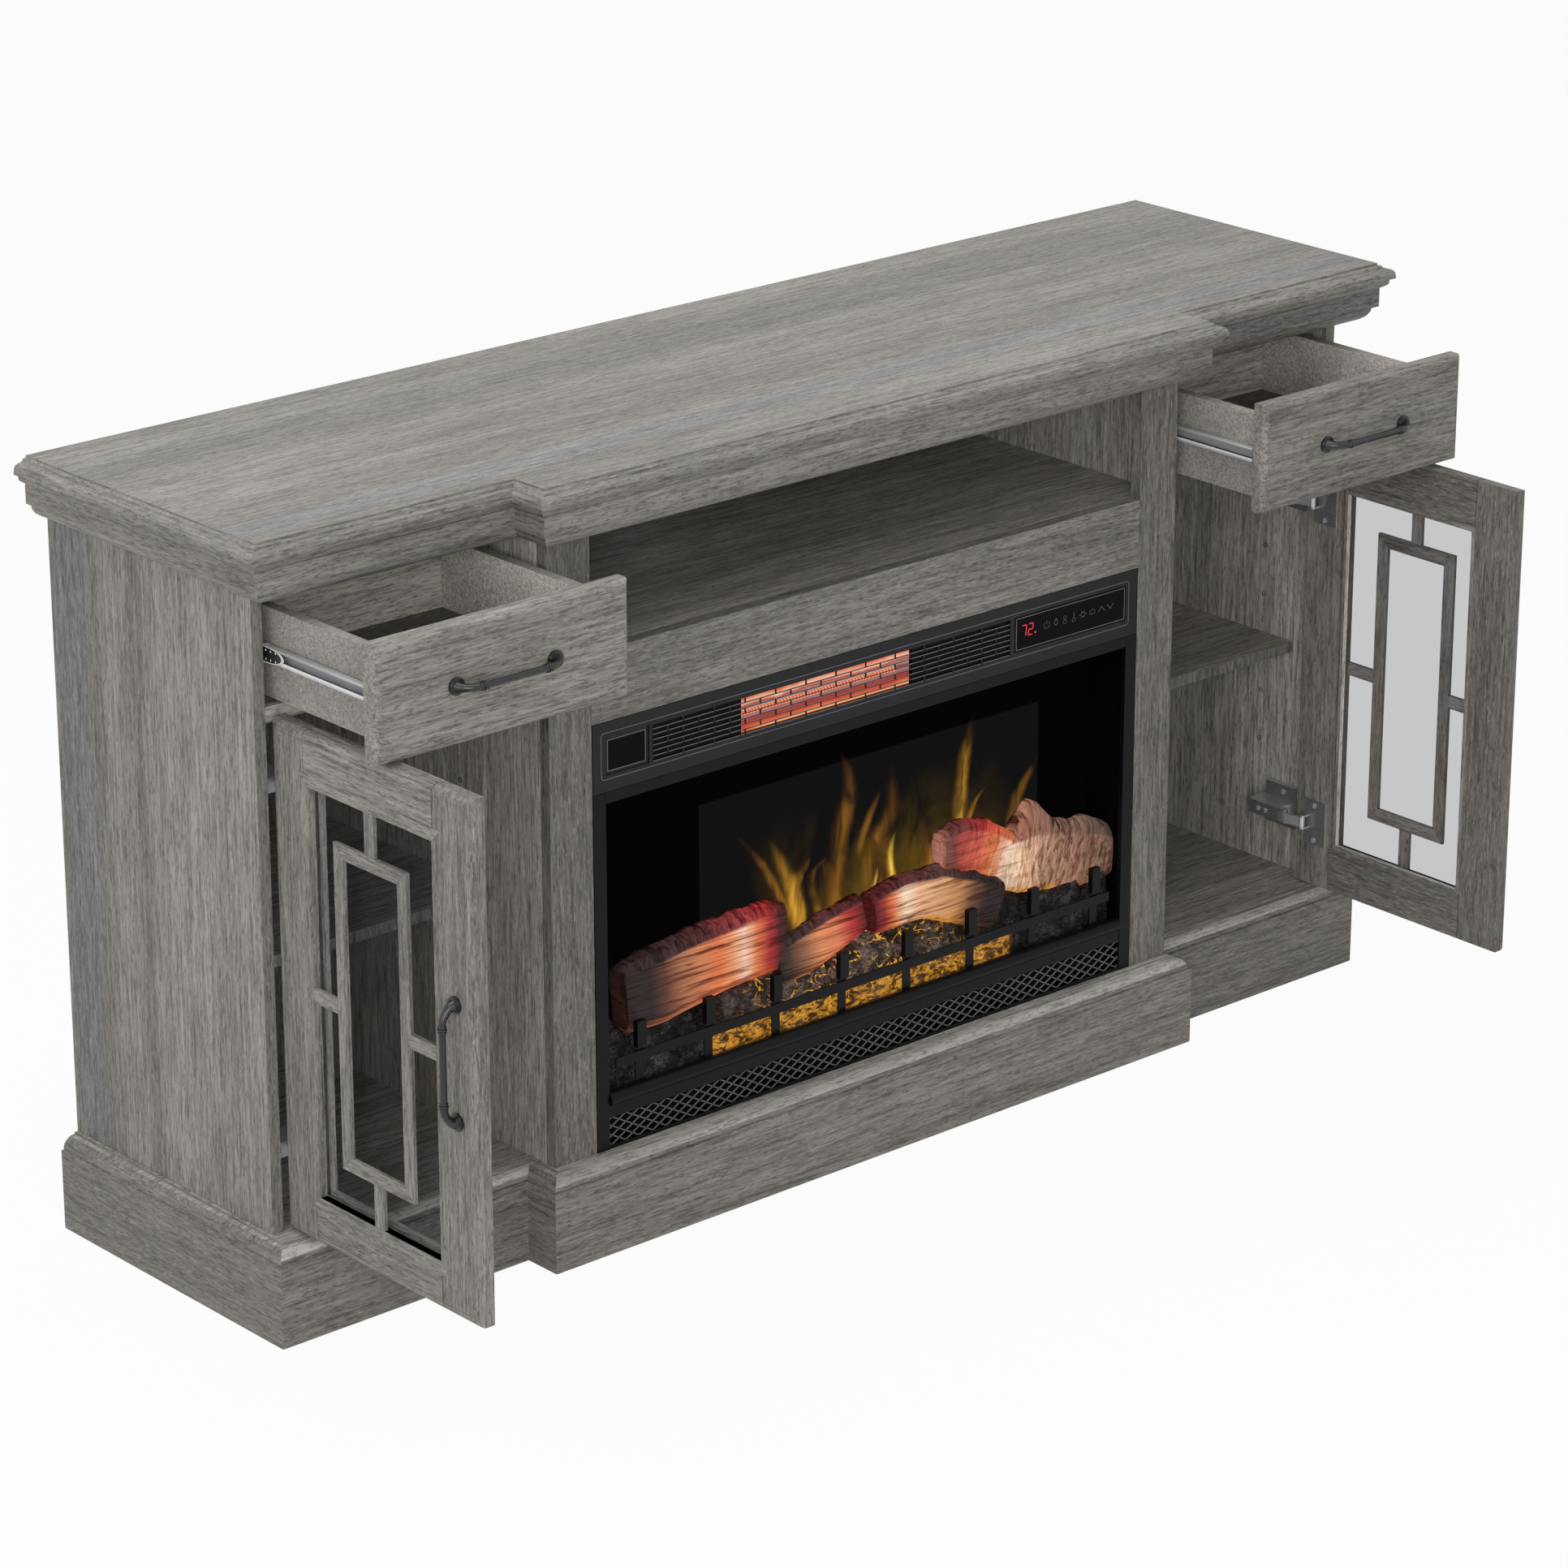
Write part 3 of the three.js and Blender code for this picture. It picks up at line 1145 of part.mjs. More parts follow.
// Flame screen across the fire chamber.
add('flame_screen', box(
  -chamber + SCREEN_GAP,
  chamber - SCREEN_GAP,
  -SCREEN_DEPTH,
  -SCREEN_DEPTH + SCREEN_THICKNESS,
  FLOOR_HEIGHT + SHELL_WALL,
  DECK_HEIGHT - SCREEN_GAP,
), 'screen');

// Ember bed with a lumpy top, resting on the shell floor.
const emberFloor = FLOOR_HEIGHT + SHELL_WALL;
const emberRings = [];
const swell = (n, turn) => EMBER_SWELL * Math.sin(n * turn) * Math.cos(n * n * turn);
for (let n = 0; n <= EMBER_STATIONS; n += 1) {
  const x = -EMBER_HALF_LENGTH + (2 * EMBER_HALF_LENGTH * n) / EMBER_STATIONS;
  const depthShares = [0.06, 0.3, 0.62, 0.94];
  const heightShares = [-1.6, 0, 0.5, 1.1];
  emberRings.push([
    new THREE.Vector3(x, -EMBER_BACK, emberFloor),
    new THREE.Vector3(x, -EMBER_FRONT, emberFloor),
    new THREE.Vector3(x, -EMBER_FRONT, EMBER_TOP - EMBER_SWELL * 4),
    ...depthShares.map((share, m) => new THREE.Vector3(
      x,
      -EMBER_FRONT + share * (EMBER_FRONT - EMBER_BACK),
      EMBER_TOP + heightShares[m] * EMBER_SWELL + swell(n + m, 1.7 + m),
    )),
    new THREE.Vector3(x, -EMBER_BACK, EMBER_TOP),
  ]);
}
const emberBody = loft(emberRings);
add('ember_bed', emberBody, 'ember');

// One moulded log: uneven rings along a line, flattened front to back.
function mouldedLog(shares, seed) {
  const place = ([across, up]) => new THREE.Vector2(
    across * FIRE_HALF_WIDTH,
    FIRE_BOTTOM + up * LOG_SET_HEIGHT,
  );
  const from = place(shares.from);
  const along = place(shares.to).sub(from);
  const across = new THREE.Vector2(-along.y, along.x).normalize();
  const bedDepth = EMBER_FRONT - EMBER_BACK;
  const rings = [];
  for (let n = 0; n <= LOG_STATIONS; n += 1) {
    const share = n / LOG_STATIONS;
    const radiusShare = shares.radii[0] + (shares.radii[1] - shares.radii[0]) * share;
    const radius = radiusShare * LOG_SET_HEIGHT;
    const ring = [];
    for (let m = 0; m < LOG_SIDES; m += 1) {
      const angle = (m / LOG_SIDES) * 2 * Math.PI;
      const uneven = 1 + 0.09 * Math.sin(seed + m * 2.3 + n * 1.1) + 0.05 * Math.cos(n * 2.9 + m);
      const rise = radius * uneven * Math.sin(angle);
      const inwards = (shares.centre + shares.thickness * Math.min(uneven, 1) * Math.cos(angle)) * bedDepth;
      ring.push(new THREE.Vector3(
        from.x + along.x * share + across.x * rise,
        -EMBER_FRONT + inwards,
        from.y + along.y * share + across.y * rise,
      ));
    }
    rings.push(ring);
  }
  return loft(rings);
}
const raisedBed = emberBody.clone();
raisedBed.translate(0, 0, LOG_SEAT);
add('log_set', cut(join(...logShares.map(mouldedLog)), raisedBed), 'log');

// Grate: a rail on posts, standing on the sill.
const grateBack = GRATE_FRONT - GRATE_SHEET;
const grateFoot = SILL_HEIGHT + SILL_RADIUS * Math.cos(Math.PI / SILL_SIDES) + GRATE_SEAT;
const gratePosts = [];
for (let n = 0; n < GRATE_POSTS; n += 1) {
  const x = GRATE_FIRST_POST + n * GRATE_POST_PITCH;
  gratePosts.push(box(
    x - GRATE_POST_WIDTH / 2,
    x + GRATE_POST_WIDTH / 2,
    -GRATE_FRONT,
    -grateBack,
    grateFoot,
    GRATE_POST_TOP,
  ));
}
add('fire_grate', join(
  box(-GRATE_HALF_LENGTH, GRATE_HALF_LENGTH, -GRATE_FRONT, -grateBack, GRATE_RAIL_LOW, GRATE_RAIL_HIGH),
  ...gratePosts,
), 'black');

// Flicker rod behind the screen, turning in the shell's side walls.
const vanes = [];
for (let n = 0; n < ROD_VANES; n += 1) {
  const vane = new THREE.BoxGeometry(ROD_VANE_LENGTH, 2 * ROD_VANE_REACH, ROD_VANE_SHEET);
  vane.rotateX((n % 4) * (Math.PI / 4));
  const offset = (n - (ROD_VANES - 1) / 2) * ROD_VANE_PITCH;
  vane.translate(offset, -ROD_DEPTH, ROD_HEIGHT);
  vanes.push(vane);
}
add('flicker_rod', join(
  bar('x', [-ROD_DEPTH, ROD_HEIGHT], ROD_RADIUS, -SHELL_HALF_WIDTH, SHELL_HALF_WIDTH, ROD_SIDES),
  ...vanes,
), 'aluminium');

export default group;
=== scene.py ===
"""Looks of the grey oak media cabinet with its electric fire, in metres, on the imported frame."""

import math

import bmesh
import bpy
from mathutils import Matrix, Vector, noise


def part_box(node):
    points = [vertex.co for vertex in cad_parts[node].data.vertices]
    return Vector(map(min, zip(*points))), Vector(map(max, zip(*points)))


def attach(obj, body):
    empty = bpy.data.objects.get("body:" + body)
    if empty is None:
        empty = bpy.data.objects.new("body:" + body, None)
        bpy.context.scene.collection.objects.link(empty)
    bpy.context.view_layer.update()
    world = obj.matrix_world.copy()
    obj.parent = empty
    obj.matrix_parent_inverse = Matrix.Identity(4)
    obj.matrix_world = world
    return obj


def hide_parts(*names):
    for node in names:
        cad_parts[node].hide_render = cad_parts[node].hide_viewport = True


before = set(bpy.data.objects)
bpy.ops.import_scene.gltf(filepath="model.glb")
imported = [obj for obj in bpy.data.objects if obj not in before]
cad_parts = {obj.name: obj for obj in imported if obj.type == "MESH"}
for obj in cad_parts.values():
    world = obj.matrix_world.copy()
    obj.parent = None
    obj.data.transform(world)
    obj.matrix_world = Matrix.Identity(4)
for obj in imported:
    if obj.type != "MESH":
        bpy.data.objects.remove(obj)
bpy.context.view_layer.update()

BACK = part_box("back_panel")[1].y
ALONG = {"x": 0, "y": 1, "z": 2}
ACROSS_X = (0, math.pi / 2, 0)
ACROSS_Y = (math.pi / 2, 0, 0)


# ---------------------------------------------------------------- nodes
class Wire:
    """An output socket in a net. Plain arithmetic on it adds math nodes."""

    def __init__(self, net, socket):
        self.net, self.socket = net, socket

    def __add__(self, other):
        return self.net.maths("ADD", self, other)

    def __sub__(self, other):
        return self.net.maths("SUBTRACT", self, other)

    def __rsub__(self, other):
        return self.net.maths("SUBTRACT", other, self)

    def __mul__(self, other):
        return self.net.maths("MULTIPLY", self, other)

    def __abs__(self):
        return self.net.maths("ABSOLUTE", self, 0)

    def most(self, other):
        return self.net.maths("MAXIMUM", self, other)

    def ramp(self, low, high, start=0.0, end=1.0, curve="SMOOTHSTEP"):
        """Maps low..high to start..end, clamped."""
        node = self.net.node("ShaderNodeMapRange", {"interpolation_type": curve}, Value=self,
                             From_Min=low, From_Max=high, To_Min=start, To_Max=end)
        return Wire(self.net, node.outputs["Result"])

    def band(self, low, high, soft):
        """1 between low and high, fading over soft."""
        return self.ramp(low - soft, low + soft) * self.ramp(high - soft, high + soft, 1, 0)

    def colours(self, *stops):
        """Colour ramp through (position, (r, g, b)) stops."""
        node = self.net.node("ShaderNodeValToRGB", Fac=self)
        elements = node.color_ramp.elements
        while len(elements) < len(stops):
            elements.new(0.5)
        for element, (position, colour) in zip(elements, stops):
            element.position = position
            element.color = (*colour, 1)
        return Wire(self.net, node.outputs["Color"])


class Net:
    """The nodes of a new material or world, with short ways to add and join them."""

    def __init__(self, owner):
        owner.use_nodes = True
        self.owner, self.tree = owner, owner.node_tree

    def feed(self, socket, item):
        """Links a wire or socket to an input, or sets a number, a vector or an (r, g, b) colour on it."""
        if isinstance(item, Wire):
            item = item.socket
        if isinstance(item, bpy.types.NodeSocket):
            self.tree.links.new(item, socket)
        elif socket.type == "RGBA":
            socket.default_value = (*item, 1)
        else:
            socket.default_value = item

    def node(self, kind, settings=None, **inputs):
        """New node with its settings, and its inputs by name with _ for a space."""
        node = self.tree.nodes.new(kind)
        for name, value in (settings or {}).items():
            setattr(node, name, value)
        for name, item in inputs.items():
            self.feed(node.inputs[name.replace("_", " ")], item)
        return node

    def maths(self, kind, first, second):
        node = self.node("ShaderNodeMath", {"operation": kind})
        self.feed(node.inputs[0], first)
        self.feed(node.inputs[1], second)
        return Wire(self, node.outputs[0])

    def mix(self, share, first, second, kind="MIX"):
        """Two colours mixed by a share. Each is a wire or plain."""
        node = self.node("ShaderNodeMix", {"data_type": "RGBA", "blend_type": kind})
        for index, item in ((0, share), (6, first), (7, second)):
            self.feed(node.inputs[index], item)
        return Wire(self, node.outputs[2])

    def blend(self, share, first, second):
        """Two shaders mixed by a share."""
        node = self.node("ShaderNodeMixShader", Fac=share)
        self.feed(node.inputs[1], first.outputs[0])
        self.feed(node.inputs[2], second.outputs[0])
        return node.outputs[0]

    def place(self, kind="Object"):
        return Wire(self, self.node("ShaderNodeTexCoord").outputs[kind])

    def split(self, place):
        """The three parts of a place."""
        return [Wire(self, part) for part in self.node("ShaderNodeSeparateXYZ", Vector=place).outputs]

    def noise(self, place, scale, shift=(0, 0, 0), detail=3, rough=0.5, twist=0):
        """Noise on a place that is scaled per axis first, so that it can follow the grain."""
        mapping = self.node("ShaderNodeMapping", Vector=place, Scale=scale, Location=shift)
        cloud = self.node("ShaderNodeTexNoise", Vector=mapping.outputs[0], Scale=1, Detail=detail,
                          Roughness=rough, Distortion=twist)
        return Wire(self, cloud.outputs["Fac"])

    def bump(self, height, strength, distance):
        return self.node("ShaderNodeBump", Height=height, Strength=strength, Distance=distance).outputs[0]

    def seen_directly(self):
        """1 for what the camera sees, straight, in a reflection or through glass."""
        rays = self.node("ShaderNodeLightPath").outputs
        straight = Wire(self, rays["Is Camera Ray"]).most(rays["Is Glossy Ray"])
        return straight.most(rays["Is Transmission Ray"])

    def surface(self, **inputs):
        """Sets the main shader's inputs and gives the finish."""
        for name, item in inputs.items():
            self.feed(self.tree.nodes["Principled BSDF"].inputs[name.replace("_", " ")], item)
        return self.owner


def new_net(name):
    return Net(bpy.data.materials.new(name))


# ---------------------------------------------------------------- camera and stage
def set_camera():
    """The photograph's view: the camera stands left, in front and above."""
    right = Vector((0.7500, -0.6614, -0.0002))
    up = Vector((0.2300, 0.2606, 0.9377))
    ahead = Vector((0.6202, 0.7033, -0.3476))
    turn = Matrix((right, up, -ahead)).transposed().to_4x4()
    bpy.ops.object.camera_add(location=(-3.4887, -3.9985, 2.3186))
    camera = bpy.context.object
    camera.rotation_euler = turn.to_euler()
    camera.data.lens = 124.40
    camera.data.sensor_width = 36
    camera.data.clip_end = 50
    bpy.context.scene.camera = camera


def set_stage():
    """Pale floor that keeps the cabinet's shadow, white surroundings and soft lamps."""
    bpy.ops.mesh.primitive_plane_add(size=60, location=(0, 0, -0.0005))
    floor = bpy.context.object
    floor.name = "studio_floor"
    net = new_net("studio_floor_white")
    net.tree.nodes.clear()
    matt = net.node("ShaderNodeBsdfDiffuse", Color=(0.8, 0.8, 0.8))
    white = net.node("ShaderNodeEmission", Color=(1, 1, 1))
    net.node("ShaderNodeOutputMaterial", Surface=net.blend(net.seen_directly() * 0.95, matt, white))
    floor.data.materials.append(net.owner)

    world = bpy.data.worlds.new("studio_air")
    bpy.context.scene.world = world
    net = Net(world)
    net.tree.nodes.clear()
    level = net.seen_directly().ramp(0, 1, 0.25, 1, "LINEAR")
    sky = net.node("ShaderNodeBackground", Color=(1, 1, 1), Strength=level)
    net.node("ShaderNodeOutputWorld", Surface=sky.outputs[0])

    lamps = [
        ("top_lamp", (-0.6, 0.2, 3.6), (0, 0, 0.6), 3.2, 61),
        ("left_lamp", (-3.9, -1.2, 1.9), (-0.4, 0, 0.5), 2.2, 23),
        ("front_lamp", (-3.0, -4.0, 1.8), (0, 0, 0.45), 2.4, 66),
    ]
    for name, place, aim, size, power in lamps:
        bpy.ops.object.light_add(type="AREA", location=place)
        lamp = bpy.context.object
        lamp.name = name
        lamp.data.size = size
        lamp.data.energy = power
        lamp.rotation_euler = (Vector(aim) - Vector(place)).to_track_quat("-Z", "Y").to_euler()


# ---------------------------------------------------------------- finishes
def oak_finish(name, axis, shift, light, dark, contrast=1.0, blue_band=None, cool=0.8):
    """Weathered grey oak laminate: broad tones, figure, streaks and short dark pores along one axis."""
    net = new_net(name)
    place = net.place()

    def grain(across, along, move, **settings):
        scale = [across] * 3
        scale[ALONG[axis]] = along
        return net.noise(place, scale, [part + move for part in shift], **settings)

    tones = grain(10, 0.8, 0.0, detail=3, rough=0.55, twist=0.4)
    figure = grain(70, 5.5, 5.2, detail=4, rough=0.6, twist=0.9)
    streaks = grain(255, 15, 9.1, detail=5, rough=0.7)
    pores = grain(560, 88, 3.7, detail=4, rough=0.72)
    long_pores = grain(400, 34, 7.3, detail=3, rough=0.62)
    flecks = grain(620, 90, 1.9, detail=2, rough=0.6)
    blue = grain(8, 0.7, 14.6, detail=2, rough=0.5, twist=0.3)

    shade = net.mix(tones.ramp(0.32, 0.68), dark, light)
    shade = net.mix(min(1, 0.6 * contrast), shade, figure.colours(
        (0.3, (0.76, 0.76, 0.75)), (0.52, (1, 1, 1)), (0.7, (1.08, 1.07, 1.05))), "MULTIPLY")
    shade = net.mix(min(1, 0.56 * contrast), shade, streaks.colours(
        (0.34, (0.42, 0.41, 0.40)), (0.5, (1, 1, 1)), (0.66, (1.5, 1.48, 1.44))), "MULTIPLY")
    tint = net.mix(1.0, shade, (0.94, 0.985, 1.1), "MULTIPLY")
    cold = blue.ramp(0.55, 0.66, 0, cool)
    if blue_band:
        across, low, high, soft = blue_band
        wavy = net.split(place)[ALONG[across]] + figure * (soft * 1.5)
        cold = cold.most(wavy.band(low + soft, high + soft, soft))
    shade = net.mix(cold, shade, tint)
    shade = net.mix(flecks.ramp(0.57, 0.68, 0, 0.4), shade, (0.56, 0.54, 0.51))
    marks = (pores.ramp(0.53, 0.61) * 0.74).most(long_pores.ramp(0.56, 0.65) * 0.64)
    shade = net.mix(marks, shade, (0.36, 0.34, 0.32), "MULTIPLY")
    return net.surface(Base_Color=shade, Roughness=streaks.ramp(0.3, 0.7, 0.5, 0.62), Specular_IOR_Level=0.3,
                       Normal=net.bump(streaks - marks, 0.35, 0.0004))


def metal_finish(name, colour, roughness, metallic=1.0, fleck=0.0, grain=(900, 900, 900), depth=0.00006,
                 shine=0.5):
    """Metal or paint with a fine uneven surface."""
    net = new_net(name)
    place = net.place()
    fine = net.noise(place, grain, detail=2)
    wide = net.noise(place, (30, 30, 30), detail=2)
    tone = net.mix(wide.ramp(0.3, 0.7), [part * (1 - fleck) for part in colour],
                   [min(1, part * (1 + fleck)) for part in colour])
    relief = {"Normal": net.bump(fine, 0.35, depth)} if depth else {}
    return net.surface(Base_Color=tone, Metallic=metallic, Specular_IOR_Level=shine,
                       Roughness=fine.ramp(0.3, 0.7, roughness * 0.85, roughness * 1.15), **relief)


def glass_finish(name, tint, gloss):
    """Thin smoked glass: what is behind it shows darker, with a faint even reflection."""
    net = new_net(name)
    film = net.noise(net.place(), (14, 14, 14), detail=2)
    clear = net.node("ShaderNodeBsdfTransparent", Color=net.mix(film, [part * 0.985 for part in tint], tint))
    facing = net.node("ShaderNodeLayerWeight", Blend=0.5).outputs["Facing"]
    share = net.maths("POWER", facing, 3.0) * gloss + 0.012
    nodes = net.tree.nodes
    net.feed(nodes["Material Output"].inputs["Surface"], net.blend(share, clear, nodes["Principled BSDF"]))
    return net.surface(Base_Color=(0.01, 0.01, 0.01), Roughness=film.ramp(0.3, 0.7, 0.03, 0.05))


def glowing_finish(name, lamp_colour, strength):
    """Even glow with a faint uneven grain, for the figures and signs on the display."""
    net = new_net(name)
    fleck = net.noise(net.place(), (400, 400, 400), detail=1)
    shade = net.mix(fleck, [part * 0.85 for part in lamp_colour], lamp_colour)
    return net.surface(Base_Color=(0.02, 0.02, 0.02), Emission_Color=shade, Emission_Strength=strength,
                       Roughness=0.5)


def screen_finish():
    """Dark flame screen with a faintly paler picture area and a haze of firelight low in it."""
    net = new_net("flame_screen_gloss")
    across, _, up = net.split(net.place())
    picture = across.band(-0.184, 0.289, 0.0015) * up.ramp(0.409, 0.406)
    smoke = net.noise(net.place(), (16, 16, 8), detail=4, twist=1.2)
    near_logs = across.band(-0.06, 0.2, 0.09) * up.ramp(0.385, 0.225)
    base = net.mix(picture, (0.0012, 0.0012, 0.0013), (0.0062, 0.0060, 0.0062))
    glow = net.mix(near_logs * smoke.ramp(0.36, 0.7), base, (0.135, 0.075, 0.008))
    return net.surface(Emission_Color=glow, Emission_Strength=1, Base_Color=(0.0005, 0.0005, 0.0005),
                       Roughness=0.6, Specular_IOR_Level=0)


def flame_finish(name, edge_colour, core_colour, strength):
    """Wisp of flame: bright core, soft sides, fading to its tip. It reads the wisp's own UV map."""
    net = new_net(name)
    across, rise, _ = net.split(net.place("UV"))
    sway = net.noise(net.place(), (30, 30, 17), detail=3, twist=0.6)
    core = abs(across - 0.5 + (sway - 0.5) * 0.9 * rise).ramp(0.46, 0.04)
    fade = rise.ramp(1.0, 0.25) * rise.ramp(0.0, 0.3)
    lick = net.noise(net.place(), (48, 48, 15), detail=3, twist=0.8)
    shade = net.mix(core * lick.ramp(0.3, 0.6), edge_colour, core_colour)
    return net.surface(Base_Color=(0, 0, 0), Roughness=1, Specular_IOR_Level=0, Emission_Color=shade,
                       Emission_Strength=strength, Alpha=core * fade * lick.ramp(0.3, 0.68, 0.25, 1))


def log_finish():
    """Painted resin log lit from inside: colours painted on the mesh, grain along its own lay."""
    net = new_net("log_glow")
    paint = net.node("ShaderNodeVertexColor", {"layer_name": "paint"}).outputs
    lay = net.node("ShaderNodeVertexColor", {"layer_name": "lay"}).outputs["Color"]
    streak = net.noise(lay, (9, 400, 400), detail=4, rough=0.62, twist=0.25)
    split = net.noise(lay, (12, 150, 150), (3, 1, 2), detail=3, rough=0.6, twist=0.3)
    bark = net.noise(lay, (170, 46, 46), (7, 2, 5), detail=5, rough=0.68, twist=1.2)
    on_bark = Wire(net, paint["Alpha"])
    plain = 1.0 - on_bark
    worn = net.mix(plain, paint["Color"], streak.colours(
        (0.34, (0.3, 0.22, 0.18)), (0.45, (0.8, 0.74, 0.7)), (0.54, (1.0, 1.0, 1.0)),
        (0.66, (1.2, 1.2, 1.18))), "MULTIPLY")
    worn = net.mix(plain * split.ramp(0.56, 0.64, 0, 0.8), worn, (0.3, 0.15, 0.1), "MULTIPLY")
    worn = net.mix(on_bark, worn, bark.colours(
        (0.36, (0.1, 0.05, 0.04)), (0.46, (0.6, 0.52, 0.48)), (0.55, (1.0, 1.0, 1.0)),
        (0.66, (1.5, 1.46, 1.42))), "MULTIPLY")
    relief = streak + bark * on_bark - split.ramp(0.55, 0.65)
    return net.surface(Base_Color=net.mix(1.0, worn, (0.34, 0.28, 0.26), "MULTIPLY"), Emission_Color=worn,
                       Emission_Strength=0.7, Roughness=0.3, Specular_IOR_Level=0.12,
                       Normal=net.bump(relief, 0.8, 0.0022))


def ember_finish():
    """Charcoal relief with gold light in its cracks, and amber windows below the grate's rail."""
    net = new_net("ember_relief")
    place = net.place()
    across, _, up = net.split(net.place())
    wander = net.noise(place, (52, 52, 52), detail=3, rough=0.6)
    contour = net.noise(place, (42, 42, 58), (4, 1, 7), detail=2, twist=1.6)
    breaks = net.noise(place, (75, 75, 75), (9, 3, 2), detail=2)
    grainy = net.noise(place, (210, 210, 320), (1, 6, 2), detail=4, rough=0.7, twist=0.8)
    strata = net.noise(place, (48, 48, 110), (5, 5, 1), detail=3, rough=0.6, twist=1.8)
    line = abs(contour - 0.5).ramp(0.030, 0.008) * breaks.ramp(0.44, 0.54)
    middle = across.band(-0.155, 0.135, 0.07)
    window = across.band(-0.211, 0.208, 0.005) * (up.ramp(0.1885, 0.183) * up.ramp(0.152, 0.160))
    amber = window * strata.ramp(0.38, 0.6, 0.16, 0.9)
    embers = middle * line * up.ramp(0.150, 0.165)
    heat = embers.most(amber * grainy.ramp(0.3, 0.62, 0.6, 1))
    glow = heat.colours((0.0, (0, 0, 0)), (0.3, (0.10, 0.038, 0.003)), (0.62, (0.38, 0.155, 0.010)),
                        (1.0, (0.85, 0.42, 0.03)))
    coal = ((wander + grainy) * 0.5).colours(
        (0.38, (0.005, 0.005, 0.006)), (0.5, (0.03, 0.027, 0.027)), (0.62, (0.14, 0.125, 0.12)))
    shown = up.ramp(0.145, 0.165)
    # The coal's own colour is also given off as light, warm in the middle and cool at the ends: painted
    # firelight on the coal.
    warm = net.mix(1.0, coal, net.mix(middle, (0.05, 0.05, 0.06), (0.95, 0.66, 0.5)), "MULTIPLY")
    warm = net.mix(shown * (1.0 - window), (0, 0, 0), warm)
    return net.surface(Emission_Color=net.mix(1.0, glow, warm, "ADD"), Emission_Strength=0.85,
                       Base_Color=net.mix(shown, (0.002, 0.002, 0.002), coal), Roughness=0.36,
                       Specular_IOR_Level=0.16, Normal=net.bump(wander + grainy - line, 1.0, 0.004))


def heater_finish():
    """Reflector behind the slots, with the quartz tubes' glow painted on it as red, cream and orange bands of
    painted light.
    """
    net = new_net("heater_reflector")
    across, behind, up = net.split(net.place())
    slots = BACK - 0.390
    seen = up + (behind - slots) * 0.494
    wave = net.noise(net.place(), (16, 16, 16), detail=3, twist=0.8)
    share = (seen + (wave - 0.5) * 0.009).ramp(0.498, 0.538, curve="LINEAR")
    glow = share.colours(
        (0.0, (0.85, 0.25, 0.06)), (0.1, (0.95, 0.45, 0.2)), (0.19, (0.7, 0.12, 0.05)),
        (0.29, (0.42, 0.03, 0.025)), (0.4, (0.3, 0.06, 0.05)), (0.5, (0.36, 0.2, 0.2)),
        (0.6, (0.3, 0.03, 0.025)), (0.7, (0.42, 0.36, 0.37)), (0.78, (0.45, 0.06, 0.04)),
        (0.87, (1.0, 0.6, 0.4)), (1.0, (0.7, 0.12, 0.05)))
    glow = net.mix(across.ramp(-0.125, -0.175) * 0.75, glow, (0.6, 0.05, 0.035))
    return net.surface(Emission_Color=glow, Emission_Strength=0.9, Base_Color=(0.03, 0.012, 0.01),
                       Roughness=0.5, Specular_IOR_Level=0.1)


def tube_finish():
    """Quartz tube with a hot wire coil in it."""
    net = new_net("quartz_tube_glow")
    coil_pitch = 0.0042
    turns = net.maths("SINE", net.split(net.place())[0] * (2 * math.pi / coil_pitch), 0)
    glow = net.mix(turns.ramp(-0.6, 0.7), (0.3, 0.03, 0.02), (0.75, 0.28, 0.12))
    return net.surface(Emission_Color=glow, Emission_Strength=1, Base_Color=(0.5, 0.25, 0.15), Roughness=0.15)


OAK_LIGHT, OAK_DARK = (0.345, 0.325, 0.297), (0.25, 0.236, 0.216)
SHADED, SHADED_DARK = (0.26, 0.245, 0.224), (0.19, 0.179, 0.164)
# Paler oak for faces seen through the door glass: painted light that makes up for the glass dimming them.
LIT_BEHIND_GLASS_PALE, LIT_BEHIND_GLASS_DARK = (0.9, 0.85, 0.78), (0.68, 0.642, 0.59)
oak_top = oak_finish("oak_top", "x", (0.3, 0.0, 0.0), (0.372, 0.354, 0.327), (0.255, 0.243, 0.224), 1.1,
                     ("y", BACK - 0.352, BACK - 0.318, 0.012), cool=0.3)
oak_edge = oak_finish("oak_edge", "x", (4.1, 2.0, 1.3), (0.4, 0.377, 0.345), (0.28, 0.264, 0.242), 1.2)
oak_front = oak_finish("oak_front", "x", (8.7, 5.0, 3.1), (0.33, 0.312, 0.286), (0.235, 0.221, 0.203), 1.35,
                       cool=0.15)
oak_drawer = oak_finish("oak_drawer", "x", (1.9, 7.0, 6.4), (0.37, 0.349, 0.32), (0.267, 0.25, 0.23), 1.4,
                        cool=0.3)
# Shelf, divider and bottom board tops: the same oak painted paler, as painted light inside the cabinet.
oak_shelf_painted_light = oak_finish("oak_shelf_painted_light", "x", (6.2, 3.0, 9.5), (0.56, 0.53, 0.487), (0.38, 0.358, 0.329), 1.6,
                       cool=0.4)
oak_side = oak_finish("oak_side", "z", (0.0, 1.7, 0.0), (0.385, 0.363, 0.332), (0.235, 0.221, 0.203), 1.35,
                      ("y", BACK - 0.062, BACK - 0.008, 0.012))
oak_upright = oak_finish("oak_upright", "z", (5.3, 0.4, 2.2), (0.27, 0.255, 0.234), (0.19, 0.179, 0.165), 1.5,
                         cool=0.4)
